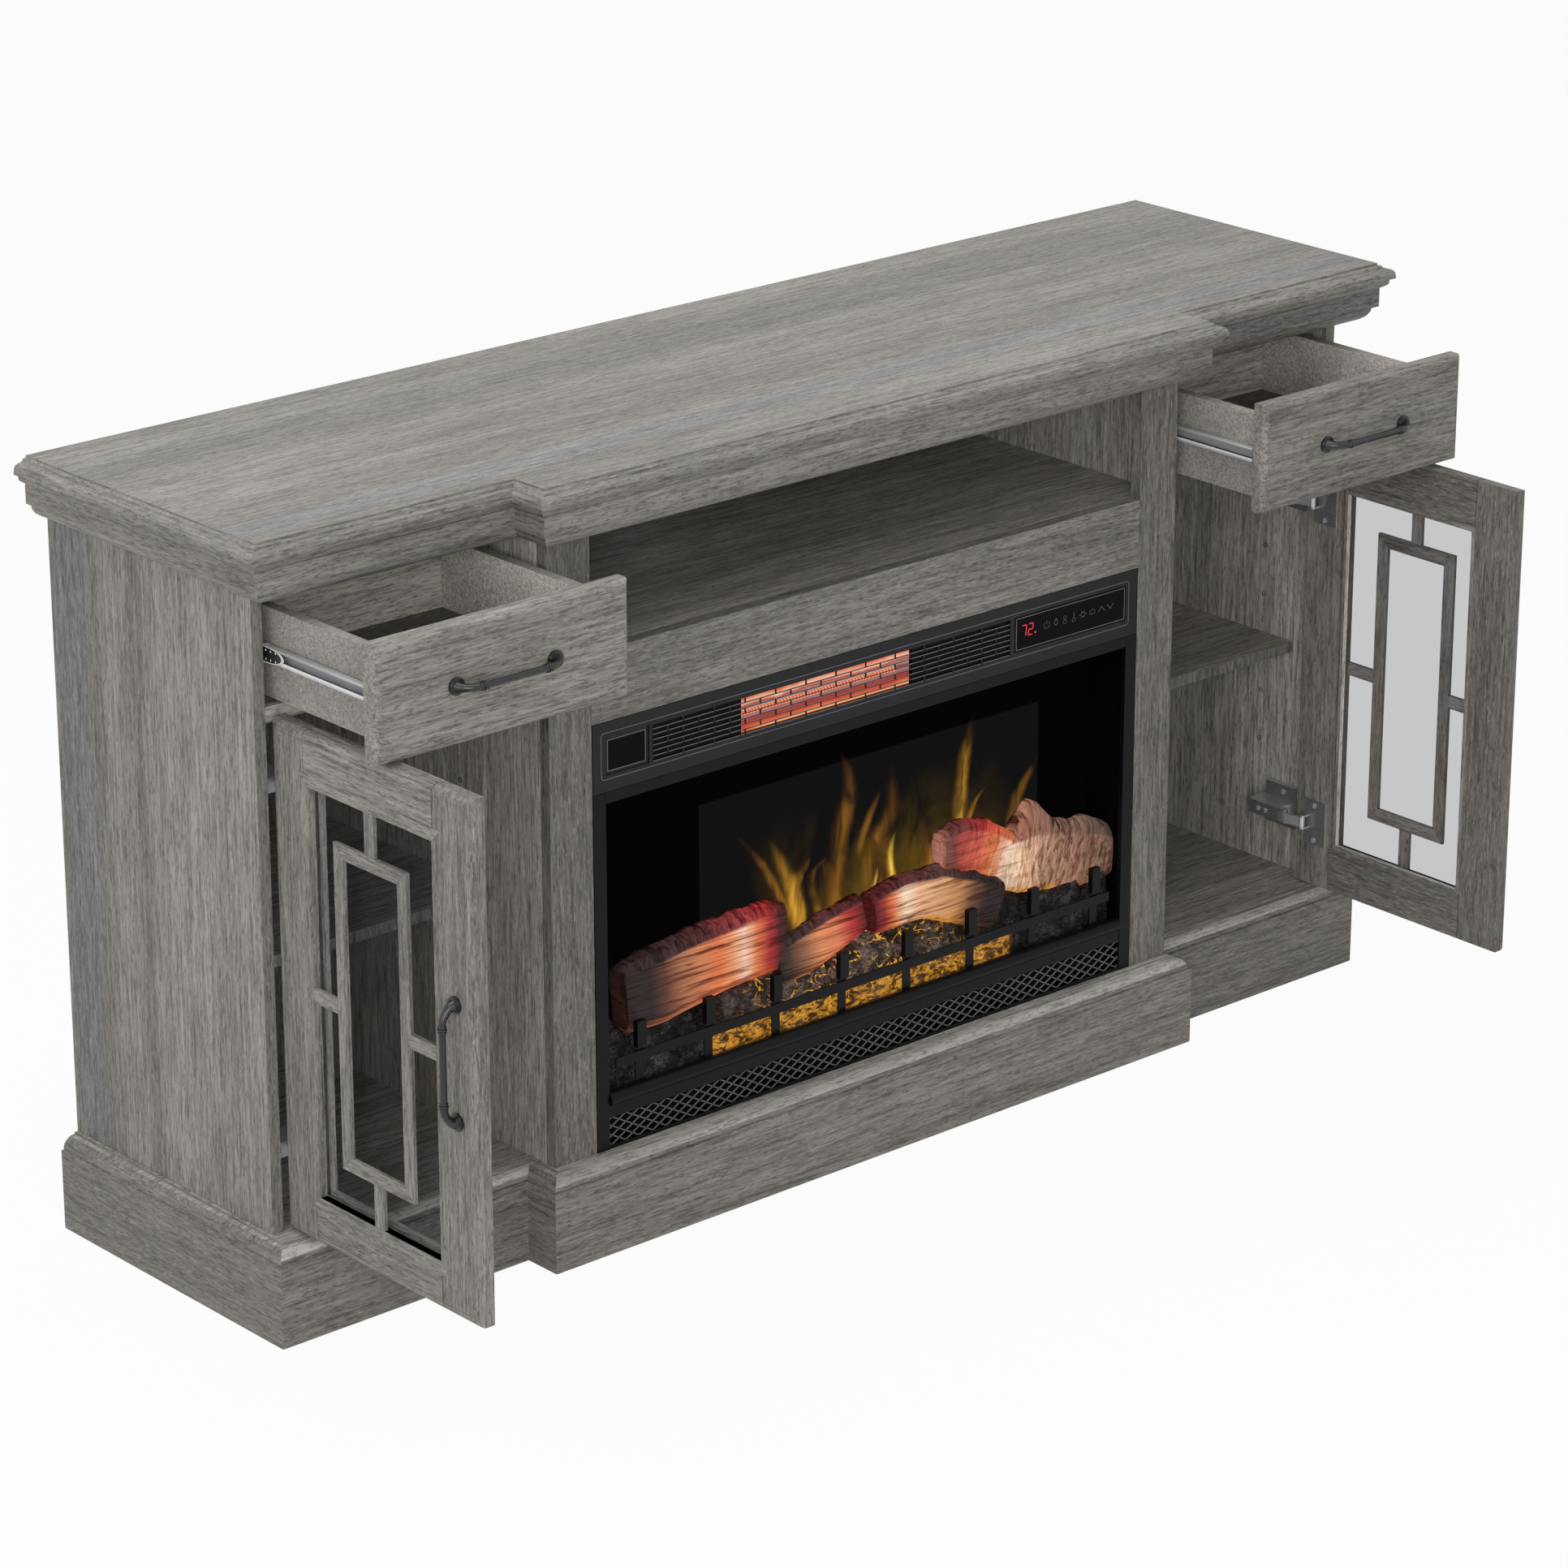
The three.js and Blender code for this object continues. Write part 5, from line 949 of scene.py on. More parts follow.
# ---------------------------------------------------------------- drawer slides
def slide_channel(name, node, lips):
    """Rolled channel in the CAD member's place: a flat web and two lips, which stand towards lips in X."""
    low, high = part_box(node)
    web, tip = (low.x, high.x) if lips > 0 else (high.x, low.x)
    foot, roll, inset = low.z, 0.0026, 0.0006 * lips
    outline = [(tip - inset, foot + 0.0024), (tip, foot + 0.0012), (tip - roll * lips * 0.4, foot + 0.0005),
               (web + roll * lips, foot + 0.0005), (web + inset, foot + 0.0022),
               (web + inset, foot + roll + 0.001)]
    outline += [(x, high.z + foot - z) for x, z in reversed(outline)]
    piece = grid(name, len(outline) - 1, 1)
    for corner in piece.data.vertices:
        x, z = outline[round((corner.co.x + 1) / 2 * (len(outline) - 1))]
        corner.co = Vector((x, low.y if corner.co.y < 0 else high.y, z))
    with_modifier(facing_out(piece), "SOLIDIFY", thickness=0.0011, offset=0)
    return smoothed(facing_out(piece), 40)


def make_slides():
    members = [
        ("slide_outer_cabinet_left", "runner_outer_left", 1, "cabinet"),
        ("slide_outer_drawer_left", "track_outer_left", -1, "drawer_left"),
        ("slide_inner_cabinet_left", "runner_inner_left", -1, "cabinet"),
        ("slide_inner_drawer_left", "track_inner_left", 1, "drawer_left"),
    ]
    for node, name, lips, body in members:
        fitted_pair(slide_channel(name, node, lips), body, zinc, "zinc_steel", node)

    # Strips along the drawer members' rims: the flange and bead strips are painted highlights, and the dark
    # groove strip is painted shade.
    rows = [("flange", 0.0004, 0.0046, zinc_painted_highlight), ("groove", 0.0047, 0.0058, dark_zinc_and_groove_shade),
            ("bead", 0.0143, 0.0151, zinc_painted_highlight)]
    for place, open_side in (("outer", -1), ("inner", 1)):
        low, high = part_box(f"slide_{place}_drawer_left")
        rim_x = low.x if open_side < 0 else high.x
        for name, foot, head, finish in rows:
            first, second = sorted((rim_x, rim_x - 0.0012 * open_side))
            strip = board(f"track_{name}_{place}_left", Vector((first, low.y, low.z + foot)),
                          Vector((second, high.y, low.z + head)))
            fitted_pair(eased(strip, 0.0003), "drawer_left", finish, "zinc_steel")

    # Ball cages, whose noses show in front of the cabinet's members.
    radius, stretch = 0.0074, (1, 3, 1)
    for place, lips in (("outer", 1), ("inner", -1)):
        low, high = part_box(f"slide_{place}_cabinet_left")
        nose = Vector(((low.x if lips > 0 else high.x) + 0.0036 * lips, low.y - 0.006, (low.z + high.z) / 2))
        plate = cylinder(f"ball_cage_{place}_left", radius, 0.0010, nose, ACROSS_X, sides=48, scale=stretch)
        fitted_pair(eased(plate, 0.0003), "drawer_left", dark_zinc_and_groove_shade, "zinc_steel")
        bpy.ops.object.select_all(action="DESELECT")
        bpy.ops.mesh.primitive_torus_add(major_radius=radius, minor_radius=0.0007, major_segments=48,
                                         minor_segments=10, location=nose, rotation=ACROSS_X)
        edge = settled(bpy.context.object, name=f"cage_edge_{place}_left", scale=stretch)
        fitted_pair(smoothed(edge, 80), "drawer_left", white_plastic, "zinc_steel")
        balls = []
        for row in (-1, 1):
            for step in range(4):
                centre = nose + Vector((0.0006 * lips, 0.0075 * (step - 1.6), row * 0.0042))
                bpy.ops.object.select_all(action="DESELECT")
                bpy.ops.mesh.primitive_uv_sphere_add(segments=16, ring_count=10, radius=0.0015,
                                                     location=centre)
                balls.append(settled(bpy.context.object))
        balls = smoothed(joined(f"slide_balls_{place}_left", *balls), 80)
        fitted_pair(balls, "drawer_left", white_plastic, "zinc_steel")


# ---------------------------------------------------------------- hinges
def screw_head(centre, radius=0.0032):
    """Pan head with a cross recess, facing +X from its seat at centre."""
    height, slot = 0.0014, 0.0008
    head = cylinder("screw", radius, height, centre + Vector((height / 2, 0, 0)), ACROSS_X, sides=28)
    eased(head, 0.0006, 3, 30)
    middle = centre + Vector((height, 0, 0))
    for size in (Vector((slot, radius * 1.1, slot)), Vector((slot, slot, radius * 1.1))):
        without(head, board("cross_cutter", middle - size, middle + size))
    return smoothed(head, 35)


def make_hinges():
    for place in ("lower", "upper"):
        arm = cad_copy(f"hinge_arm_{place}_left", f"hinge_body_{place}_left", 0.0009)
        # Arm tops get the bright nickel and the other faces the darker copy: painted light and shade on one
        # metal.
        painted(arm, nickel, (chrome, lambda normal: normal.z > 0.5))
        fitted_pair(arm, "cabinet", None, "hinge_steel", f"hinge_arm_{place}_left")
        link = cad_copy(f"hinge_link_{place}_left", f"hinge_crank_{place}_left", 0.0007)
        fitted_pair(link, "hinge_links_left", chrome, "hinge_steel", f"hinge_link_{place}_left")
        cup = cad_copy(f"hinge_cup_{place}_left", f"hinge_pot_{place}_left", 0.0006)
        # Cup faces towards +Y and -Y get the bright nickel and the rest the darker copy: painted light and
        # shade.
        painted(cup, nickel, (chrome, lambda normal: abs(normal.x) < 0.5 and abs(normal.z) < 0.7))
        fitted_pair(cup, "door_left", None, "hinge_steel", f"hinge_cup_{place}_left")

        low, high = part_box(f"hinge_arm_{place}_left")
        y, z = (low.y + high.y) / 2, (low.z + high.z) / 2
        plate, arm_top = low.x + 0.0079, high.x - 0.0001
        heads = [
            screw_head(Vector((plate, y - 0.001, z + 0.0165))),
            screw_head(Vector((plate, y - 0.001, z - 0.0165))),
            screw_head(Vector((arm_top, y + 0.012, z)), 0.0028),
            screw_head(Vector((arm_top, y + 0.001, z)), 0.0028),
        ]
        fitted_pair(joined(f"hinge_screws_{place}_left", *heads), "cabinet", zinc, "hinge_steel")
        cup_face = DOOR_FACE + DOOR_THICK + 0.0015 - 0.0001
        heads = [screw_head(Vector((cup_face, HINGE_EDGE - 0.029, z + step)), 0.003)
                 for step in (0.0205, -0.0205)]
        fitted_pair(joined(f"cup_screws_{place}_left", *heads), "door_left", zinc, "hinge_steel")


# ---------------------------------------------------------------- fire front
def make_fire_front():
    slabs = [
        (-371.5, -355.5, 384, 390, 101.3, 480.7),
        (355.5, 371.5, 384, 390, 101.3, 480.7),
        (-355.5, 355.5, 384, 390, 469, 480.7),
        (-355.5, 355.5, 384, 389.4, 135, 155),
        (-355.5, 355.5, 384, 389.4, 101.3, 105),
    ]
    slabs = [eased(block("slab", *sizes), 0.0005) for sizes in slabs]
    fitted(joined("fire_surround", *slabs), "cabinet", satin_black, "black_steel", "fire_frame")
    sill = cylinder("fire_sill", 0.0075, 0.710, spot(0, 386.5, 154.5), ACROSS_X, sides=48)
    fitted(eased(sill, 0.0012, 3, 60), "cabinet", satin_black, "black_steel")

    # Expanded mesh: two families of slanted strands, clipped to the band.
    pitch, rise = 17.6, 10.0
    slope = math.atan2(rise, pitch)
    half_strand = Vector((120 / math.cos(slope) / 2000, 0.0009, 0.0008))
    strands = []
    for lean in (1, -1):
        strand = settled(board("strand", -half_strand, half_strand), rotation_euler=(0, -lean * slope, 0))
        settled(strand, location=spot(-430, 387.2, 120))
        with_modifier(strand, "BEVEL", width=0.0003, segments=1)
        with_modifier(strand, "ARRAY", count=50, use_relative_offset=False, use_constant_offset=True,
                      constant_offset_displace=(pitch / 1000, 0, 0))
        strands.append(strand)
    net = joined("lattice_net", *strands)
    cuts = [(spot(-355.5, 387, 120), (-1, 0, 0)), (spot(355.5, 387, 120), (1, 0, 0)),
            (spot(0, 387, 105), (0, 0, -1)), (spot(0, 387, 135), (0, 0, 1))]
    for point, way in cuts:
        pick(net, "FACE", lambda middle, normal: True)
        bpy.ops.mesh.bisect(plane_co=point, plane_no=way, use_fill=True, clear_outer=True)
        done(net)
    fitted(smoothed(net), "cabinet", lattice_grey, "black_steel")

    painted(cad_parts["fire_shell"], matt_black)
    painted(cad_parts["flame_screen"], screen_gloss)
    painted(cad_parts["flicker_rod"], aluminium)


def rounded_plate(name, x0, x1, z0, z1, depth0, depth1, radius):
    """Upright plate with rounded corners, from millimetres."""
    return rounded(block(name, x0, x1, depth0, depth1, z0, z1), lambda middle, way: abs(way.y) > 0.9,
                   radius / 1000, 6)


def rim(name, x0, x1, z0, z1, depth, radius, width, proud):
    """Thin raised outline with rounded corners, let 0.6 mm into its plate."""
    let_in = 0.6
    piece = rounded_plate(name, x0, x1, z0, z1, depth - let_in, depth + proud, radius)
    for way in (-1, 1):
        pick(piece, "FACE", lambda middle, normal: normal.y * way > 0.9)
        bpy.ops.mesh.inset(thickness=width / 1000)
        bpy.ops.mesh.delete(type="FACE")
        done(piece)
    pick(piece, "EDGE", lambda middle, way: False)
    bpy.ops.mesh.select_non_manifold(extend=False)
    bpy.ops.mesh.bridge_edge_loops()
    done(piece)
    return smoothed(facing_out(eased(piece, min(width, proud + let_in) / 4000, 2, 60)), 45)


def make_control_bar():
    panel = block("control_bar_face", -371.5, 371.5, 384, 390, 481, 553)
    cuts = [(-295.6, 186.6, 380, 395, 498.4, 536.6), (192.8, 353.5, 380, 395, 499.5, 537.5),
            (-356, -300, 388.5, 395, 498, 538)]
    for cut in cuts:
        without(panel, block("panel_cutter", *cut))
    eased(panel, 0.0004, 2, 60)
    fitted(panel, "cabinet", bar_black, "black_steel", "control_bar")
    outlines = [
        ("control_outline", -361.5, 358.5, 493.5, 542.5, 390.0, 4, 1.0, 0.35),
        ("remote_outline", -352.5, -303.5, 501, 534, 388.5, 1.5, 1.1, 0.5),
        ("display_outline", 194.5, 352, 501, 536, 390.0, 1.5, 1.0, 0.4),
    ]
    # The outlines are painted lighter grey than the panel, as painted highlights.
    for outline in outlines:
        fitted(rim(*outline), "cabinet", rim_highlight_grey, "black_steel")
    backing = [block("slot_back", x0, x1, 386.2, 387, 496.5, 539)
               for x0, x1 in ((-296.5, -178.6), (51.6, 187.5))]
    fitted(joined("slot_backing", *backing), "cabinet", slot_black, "black_steel")

    # Brick pattern of slots: webs between the rows, posts between the slots, and pale lips under them, a
    # painted highlight on the webs' top edges.
    left, foot_row, rows, columns = -296, 498, 7, 13
    pitch_x, pitch_z, gap = 40.25, 39 / 7, 0.95
    lips, webs = [], []
    for row in range(1, rows):
        height = foot_row + pitch_z * row
        webs.append(block("web", left, 187, 388.8, 389.8, height - 0.5, height + 0.5))
    for row in range(rows):
        foot = foot_row + pitch_z * row + gap
        start = left - (0 if row % 2 == 0 else pitch_x / 2)
        for column in range(columns):
            x0 = max(start + pitch_x * column + 1.4, -294.8)
            x1 = min(start + pitch_x * (column + 1) - 1.4, 185.8)
            if -290 < x1 < 182:
                webs.append(block("post", x1 + 0.5, x1 + 2.3, 388.9, 389.6, foot - gap, foot + pitch_z - gap))
            if x1 - x0 > 4:
                lips.append(block("lip", x0, x1, 389.4, 390.0, foot - 0.6, foot - 0.15))
    fitted(joined("slot_lips", *lips), "cabinet", lip_highlight_grey, "black_steel")
    fitted(joined("slot_webs", *webs), "cabinet", bar_black, "black_steel")
    window = rounded_plate("remote_window", -351.6, -304.4, 501.8, 533.2, 388.3, 388.9, 1.2)
    fitted(smoothed(window), "cabinet", window_black, "black_gloss")
    pane = rounded_plate("display_pane", 193.2, 353.1, 499.9, 537.1, 384.2, 389.9, 1.2)
    fitted(eased(pane, 0.0003), "cabinet", window_black, "black_gloss", "display_panel")


def sign_stroke(name, points, width):
    """Flat stroke through points, in millimetres, on the display."""
    display_face = 390.15
    parts = []
    for first, second in zip(map(Vector, points), map(Vector, points[1:])):
        way = second - first
        half = Vector(((way.length + width * 0.5) / 2000, 0.0001, width / 2000))
        piece = settled(board(name, -half, half), rotation_euler=(0, -math.atan2(way.y, way.x), 0))
        middle = (first + second) / 2
        parts.append(settled(piece, location=spot(middle.x, display_face, middle.y)))
    return joined(name, *parts)


def circle_points(x, z, radius, start=0, end=360):
    """Points along an arc, 18 steps from its start to its end in degrees."""
    steps = 18
    angles = [math.radians(start + (end - start) * step / steps) for step in range(steps + 1)]
    return [(x + radius * math.cos(angle), z + radius * math.sin(angle)) for angle in angles]


def make_display():
    """Red figures and dim plain signs: power, flame, heat, thermometer, light, timer, up and down."""
    lean, shrink = 0.12, 0.8
    low, tall, wide = 514.9, 11.8, 6.2
    segments = {
        "top": ((0, 1), (1, 1)), "mid": ((0, 0.5), (1, 0.5)), "foot": ((0, 0), (1, 0)),
        "tr": ((1, 0.5), (1, 1)), "bl": ((0, 0), (0, 0.5)), "br": ((1, 0), (1, 0.5)),
    }
    figures = [(202.0, ("top", "tr", "br")), (211.6, ("top", "tr", "mid", "bl", "foot"))]
    strokes = []
    for x, lit in figures:
        for key in lit:
            (a, b), (c, d) = segments[key]
            middle_p, middle_q = (a + c) / 2, (b + d) / 2
            ends = []
            for p, q in segments[key]:
                p = middle_p + (p - middle_p) * shrink
                q = middle_q + (q - middle_q) * shrink
                ends.append((x + p * wide + lean * q * tall, low + q * tall))
            strokes.append(sign_stroke("figure", ends, 1.0))
    strokes.append(sign_stroke("figure", [(221.4, 515.9), (222.8, 515.9)], 1.6))
    fitted(joined("display_figures", *strokes), "cabinet", red_figures, "black_gloss")

    x, z = 244.0, 518.5
    signs = [
        circle_points(x, z, 4.6, 125, 415), [(x, z + 1.5), (x, z + 6.2)],
        [(258, 514.6), (255.4, 517.4), (256.4, 520.4), (258.6, 524.2), (260, 519.8), (261, 517.4),
         (258.6, 514.4)],
        circle_points(272, 515.6, 2.7), circle_points(272, 521.6, 2.2),
        circle_points(286, 514.8, 2.6), [(286, 517.4), (286, 525)],
        circle_points(300, 518.6, 3.1),
        circle_points(314.5, 517.6, 4.0, -40, 220), [(311.2, 515.2), (317.8, 515.2)],
        [(324, 515.5), (329, 522.5), (334, 515.5)], [(338, 522.5), (343, 515.5), (348, 522.5)],
    ]
    for turn in range(0, 360, 60):
        across, up = math.cos(math.radians(turn)), math.sin(math.radians(turn))
        signs.append([(300 + reach * across, 518.6 + reach * up) for reach in (4.0, 5.4)])
    placed = [[(238.4 + (x - 244) * 0.936, 519.9 + (z - 518.5) * 0.78) for x, z in points] for points in signs]
    fitted(joined("display_signs", *[sign_stroke("sign", points, 0.7) for points in placed]),
           "cabinet", dim_signs, "black_gloss")


def make_heater():
    low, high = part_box("quartz_heater")
    trough_foot, trough_head = 0.4945, 0.541
    trough = board("heater_trough", Vector((low.x, low.y + 0.0006, trough_foot)),
                   Vector((high.x, high.y, trough_head)))
    stepped(trough, lambda middle, normal: normal.y < -0.9, (0.002, (0, 0.040, 0)))
    fitted(eased(trough, 0.0006), "cabinet", reflector, "heater_steel", "quartz_heater")
    foot = board("heater_foot", Vector((low.x, high.y - 0.002, low.z)), Vector((high.x, high.y, trough_foot)))
    fitted(eased(foot, 0.0004), "cabinet", zinc, "heater_steel")
    tubes = []
    for height in (0.508, 0.527):
        tube = cylinder("tube", 0.0026, high.x - low.x - 0.004,
                        ((low.x + high.x) / 2, BACK - 0.362, height), ACROSS_X, sides=28)
        tubes.append(eased(tube, 0.0006, 3, 60))
    fitted(joined("quartz_tubes", *tubes), "cabinet", tube_glow, "heater_steel")


# ---------------------------------------------------------------- fire bed
POST_FIRST, POST_PITCH = -311, 90.3


def make_grate():
    """Flat rail on posts, each with a folded clip over its top."""
    parts = [eased(block("rail", -343, 343, 384.2, 386, 184, 195), 0.0005)]
    for index in range(8):
        x = POST_FIRST + POST_PITCH * index
        parts.append(eased(block("post", x - 5.5, x + 5.5, 382.6, 384, 160, 226), 0.0004))
        clip = block("clip", x - 6, x + 6, 381.5, 388.2, 199, 227.4)
        stepped(clip, lambda middle, normal: normal.z < -0.9, (0.0016, (0, 0, 0.026)))
        parts.append(eased(clip, 0.0005))
    fitted(joined("grate_bars", *parts), "cabinet", satin_black, "black_steel", "fire_grate")


def make_embers():
    """Lumpy charcoal bank, a lump between every two posts, in front of and under the logs."""
    low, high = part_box("ember_bed")
    bank = grid("ember_bank", 420, 52)
    floor, turn, front_slope = low.z, 0.62, 0.0095
    for corner in bank.data.vertices:
        share, round_share = (corner.co.x + 1) / 2, (corner.co.y + 1) / 2
        x = low.x + (high.x - low.x) * share
        inside = ((x - POST_FIRST / 1000) / (POST_PITCH / 1000)) % 1
        lump = min(1, math.sin(inside * math.pi) * 2.4) ** 0.6
        crest = 0.180 + 0.030 * lump + 0.012 * noise.noise(Vector((x * 21, 3.1, 0)))
        on_front = round_share < turn
        if on_front:
            rise = round_share / turn
            z = floor + (crest - floor) * rise
            y = low.y + 0.0045 + 0.005 * rise ** 4 + 0.004 * (1 - lump)
        else:
            over = (round_share - turn) / (1 - turn)
            z = crest + 0.012 * math.sin(over * math.pi / 2)
            y = low.y + front_slope + 0.004 * (1 - lump) + over * (high.y - low.y - 0.0135)
        cell = noise.voronoi(Vector((x * 75, y * 60, z * 85)))[0]
        gap = min(1, (cell[1] - cell[0]) * 2.6)
        push = 0.0024 * gap + 0.0022 * noise.noise(Vector((x * 150, y * 150, z * 190)))
        if z - floor < 0.004 or share < 0.004 or share > 0.996:
            push = 0
        if on_front:
            y -= push * 0.9
        z += push * (0.2 if on_front else 0.9)
        corner.co = Vector((x, max(y, low.y), z))

    # The open rim goes down to the floor and is closed there.
    pick(bank, "EDGE", lambda middle, way: False)
    bpy.ops.mesh.select_non_manifold(extend=False)
    bpy.ops.mesh.extrude_region_move()
    done(bank)
    for corner in bank.data.vertices:
        if corner.select:
            corner.co.z = floor
            corner.co.y = min(max(corner.co.y, low.y + 0.004), high.y)
    pick(bank, "EDGE", lambda middle, way: False)
    bpy.ops.mesh.select_non_manifold(extend=False)
    bpy.ops.mesh.edge_face_add()
    done(bank)
    fitted(smoothed(facing_out(bank), 60), "cabinet", ember_relief, "ember_resin", "ember_bed")


def blend_colour(stops, share):
    """Colour between stops of (position, (r, g, b)). The first stop is at 0."""
    for (p0, c0), (p1, c1) in zip(stops, stops[1:]):
        if share <= p1:
            return Vector(c0).lerp(Vector(c1), (share - p0) / (p1 - p0))
    return Vector(stops[-1][1])


def clamped(value):
    return min(1, max(0, value))


def shaped_log(name, stations, seed, face, bark, under, ends, rough=0.0, humps=()):
    """Split log along stations of (x, z, half height, depth, half depth) in millimetres.

    The lists colour the face, the bark over its top and the underside along the log, and its two ends.
    Rough is how much of the face is bark. Humps are (share along, half width, rise) on its top."""

    def cloud(*place):
        return noise.noise(Vector(place))

    sides, rings, cap_rings = 88, 110, (0.06, 0.2, 0.25, 0.25)
    piece = cylinder(name, 1, 2, (0, 0, 0), (0, 0, 0), sides)
    pick(piece, "EDGE", lambda middle, way: abs(way.z) > 0.9)
    bpy.ops.mesh.subdivide(number_cuts=rings)
    done(piece)
    for side in (1, -1):
        pick(piece, "FACE", lambda middle, normal: normal.z * side > 0.9)
        for thickness in cap_rings:
            bpy.ops.mesh.inset(thickness=thickness)
        done(piece)
    paint = piece.data.color_attributes.new("paint", "FLOAT_COLOR", "POINT")
    lay = piece.data.color_attributes.new("lay", "FLOAT_COLOR", "POINT")
    last = len(stations) - 1
    span = math.dist(stations[0][:2], stations[-1][:2]) / 1000
    for index, corner in enumerate(piece.data.vertices):
        share = (corner.co.z + 1) / 2
        radial = min(1, math.hypot(corner.co.x, corner.co.y))
        angle = math.atan2(corner.co.y, corner.co.x)
        step = min(int(share * last), last - 1)
        before, after = stations[step:step + 2]
        part = share * last - step
        x, z, tall, depth, deep = [a + (b - a) * part for a, b in zip(before, after)]
        up, out = math.sin(angle), math.cos(angle)
        box_up = math.copysign(abs(up) ** 0.5, up)
        box_out = math.copysign(abs(out) ** 0.55, out)
        along, height, thick = share * span * 1000, box_up * tall, box_out * deep
        grain = cloud(along * 0.012 + seed, height * 0.17, thick * 0.17) * 1.3
        grain += cloud(along * 0.03 + seed, height * 0.42, thick * 0.42) * 0.8
        wavy = cloud(along * 0.02 + seed, up * 0.9, out * 0.9) * 3.2
        crust = cloud(along * 0.07 + seed, height * 0.09, out * 2) * 3.0
        crust += cloud(along * 0.19 + seed, height * 0.2, out * 4) * 1.4
        on_bark = clamped(max(rough * min(1, share * 2.2), (up - 0.48 + grain * 0.06) / 0.12))
        swell = wavy + grain * (1 - on_bark) + crust * on_bark
        for place, half, rise in humps:
            swell += rise * math.exp(-((share - place) / half) ** 2) * max(0, up) ** 2
        end = (share - 0.5) * 2
        size = radial * (1 - 0.07 * max(0, (abs(end) - 0.955) / 0.045) ** 2)
        ragged = cloud(up * radial * 2 + seed, out * radial * 2, 1) * 2.5 * abs(end) ** 16
        slope = (after[1] - before[1]) / (after[0] - before[0])
        corner.co = spot(x + ragged - slope * (height * size), depth + size * (thick + 0.25 * swell * out),
                         z + size * (height + swell * up))
        tone = blend_colour(face, share)
        if up > 0:
            tone = tone.lerp(blend_colour(bark, share), clamped((up - 0.44 + grain * 0.06) / 0.1))
        else:
            tone = tone.lerp(blend_colour(under, share), clamped((-up - 0.45 + grain * 0.07) / 0.4))
        if out < -0.1:
            tone = tone * 0.3
        if radial < 0.98:
            tone = Vector(ends[0] if end < 0 else ends[1]) * (1 - 0.4 * radial)
        paint.data[index].color = (*tone, on_bark if radial > 0.98 else 0.4)
        lay.data[index].color = (along / 1000, z / 1000 + height * radial / 1000 + seed,
                                 thick * radial / 1000, 1)
    return smoothed(facing_out(piece), 70)


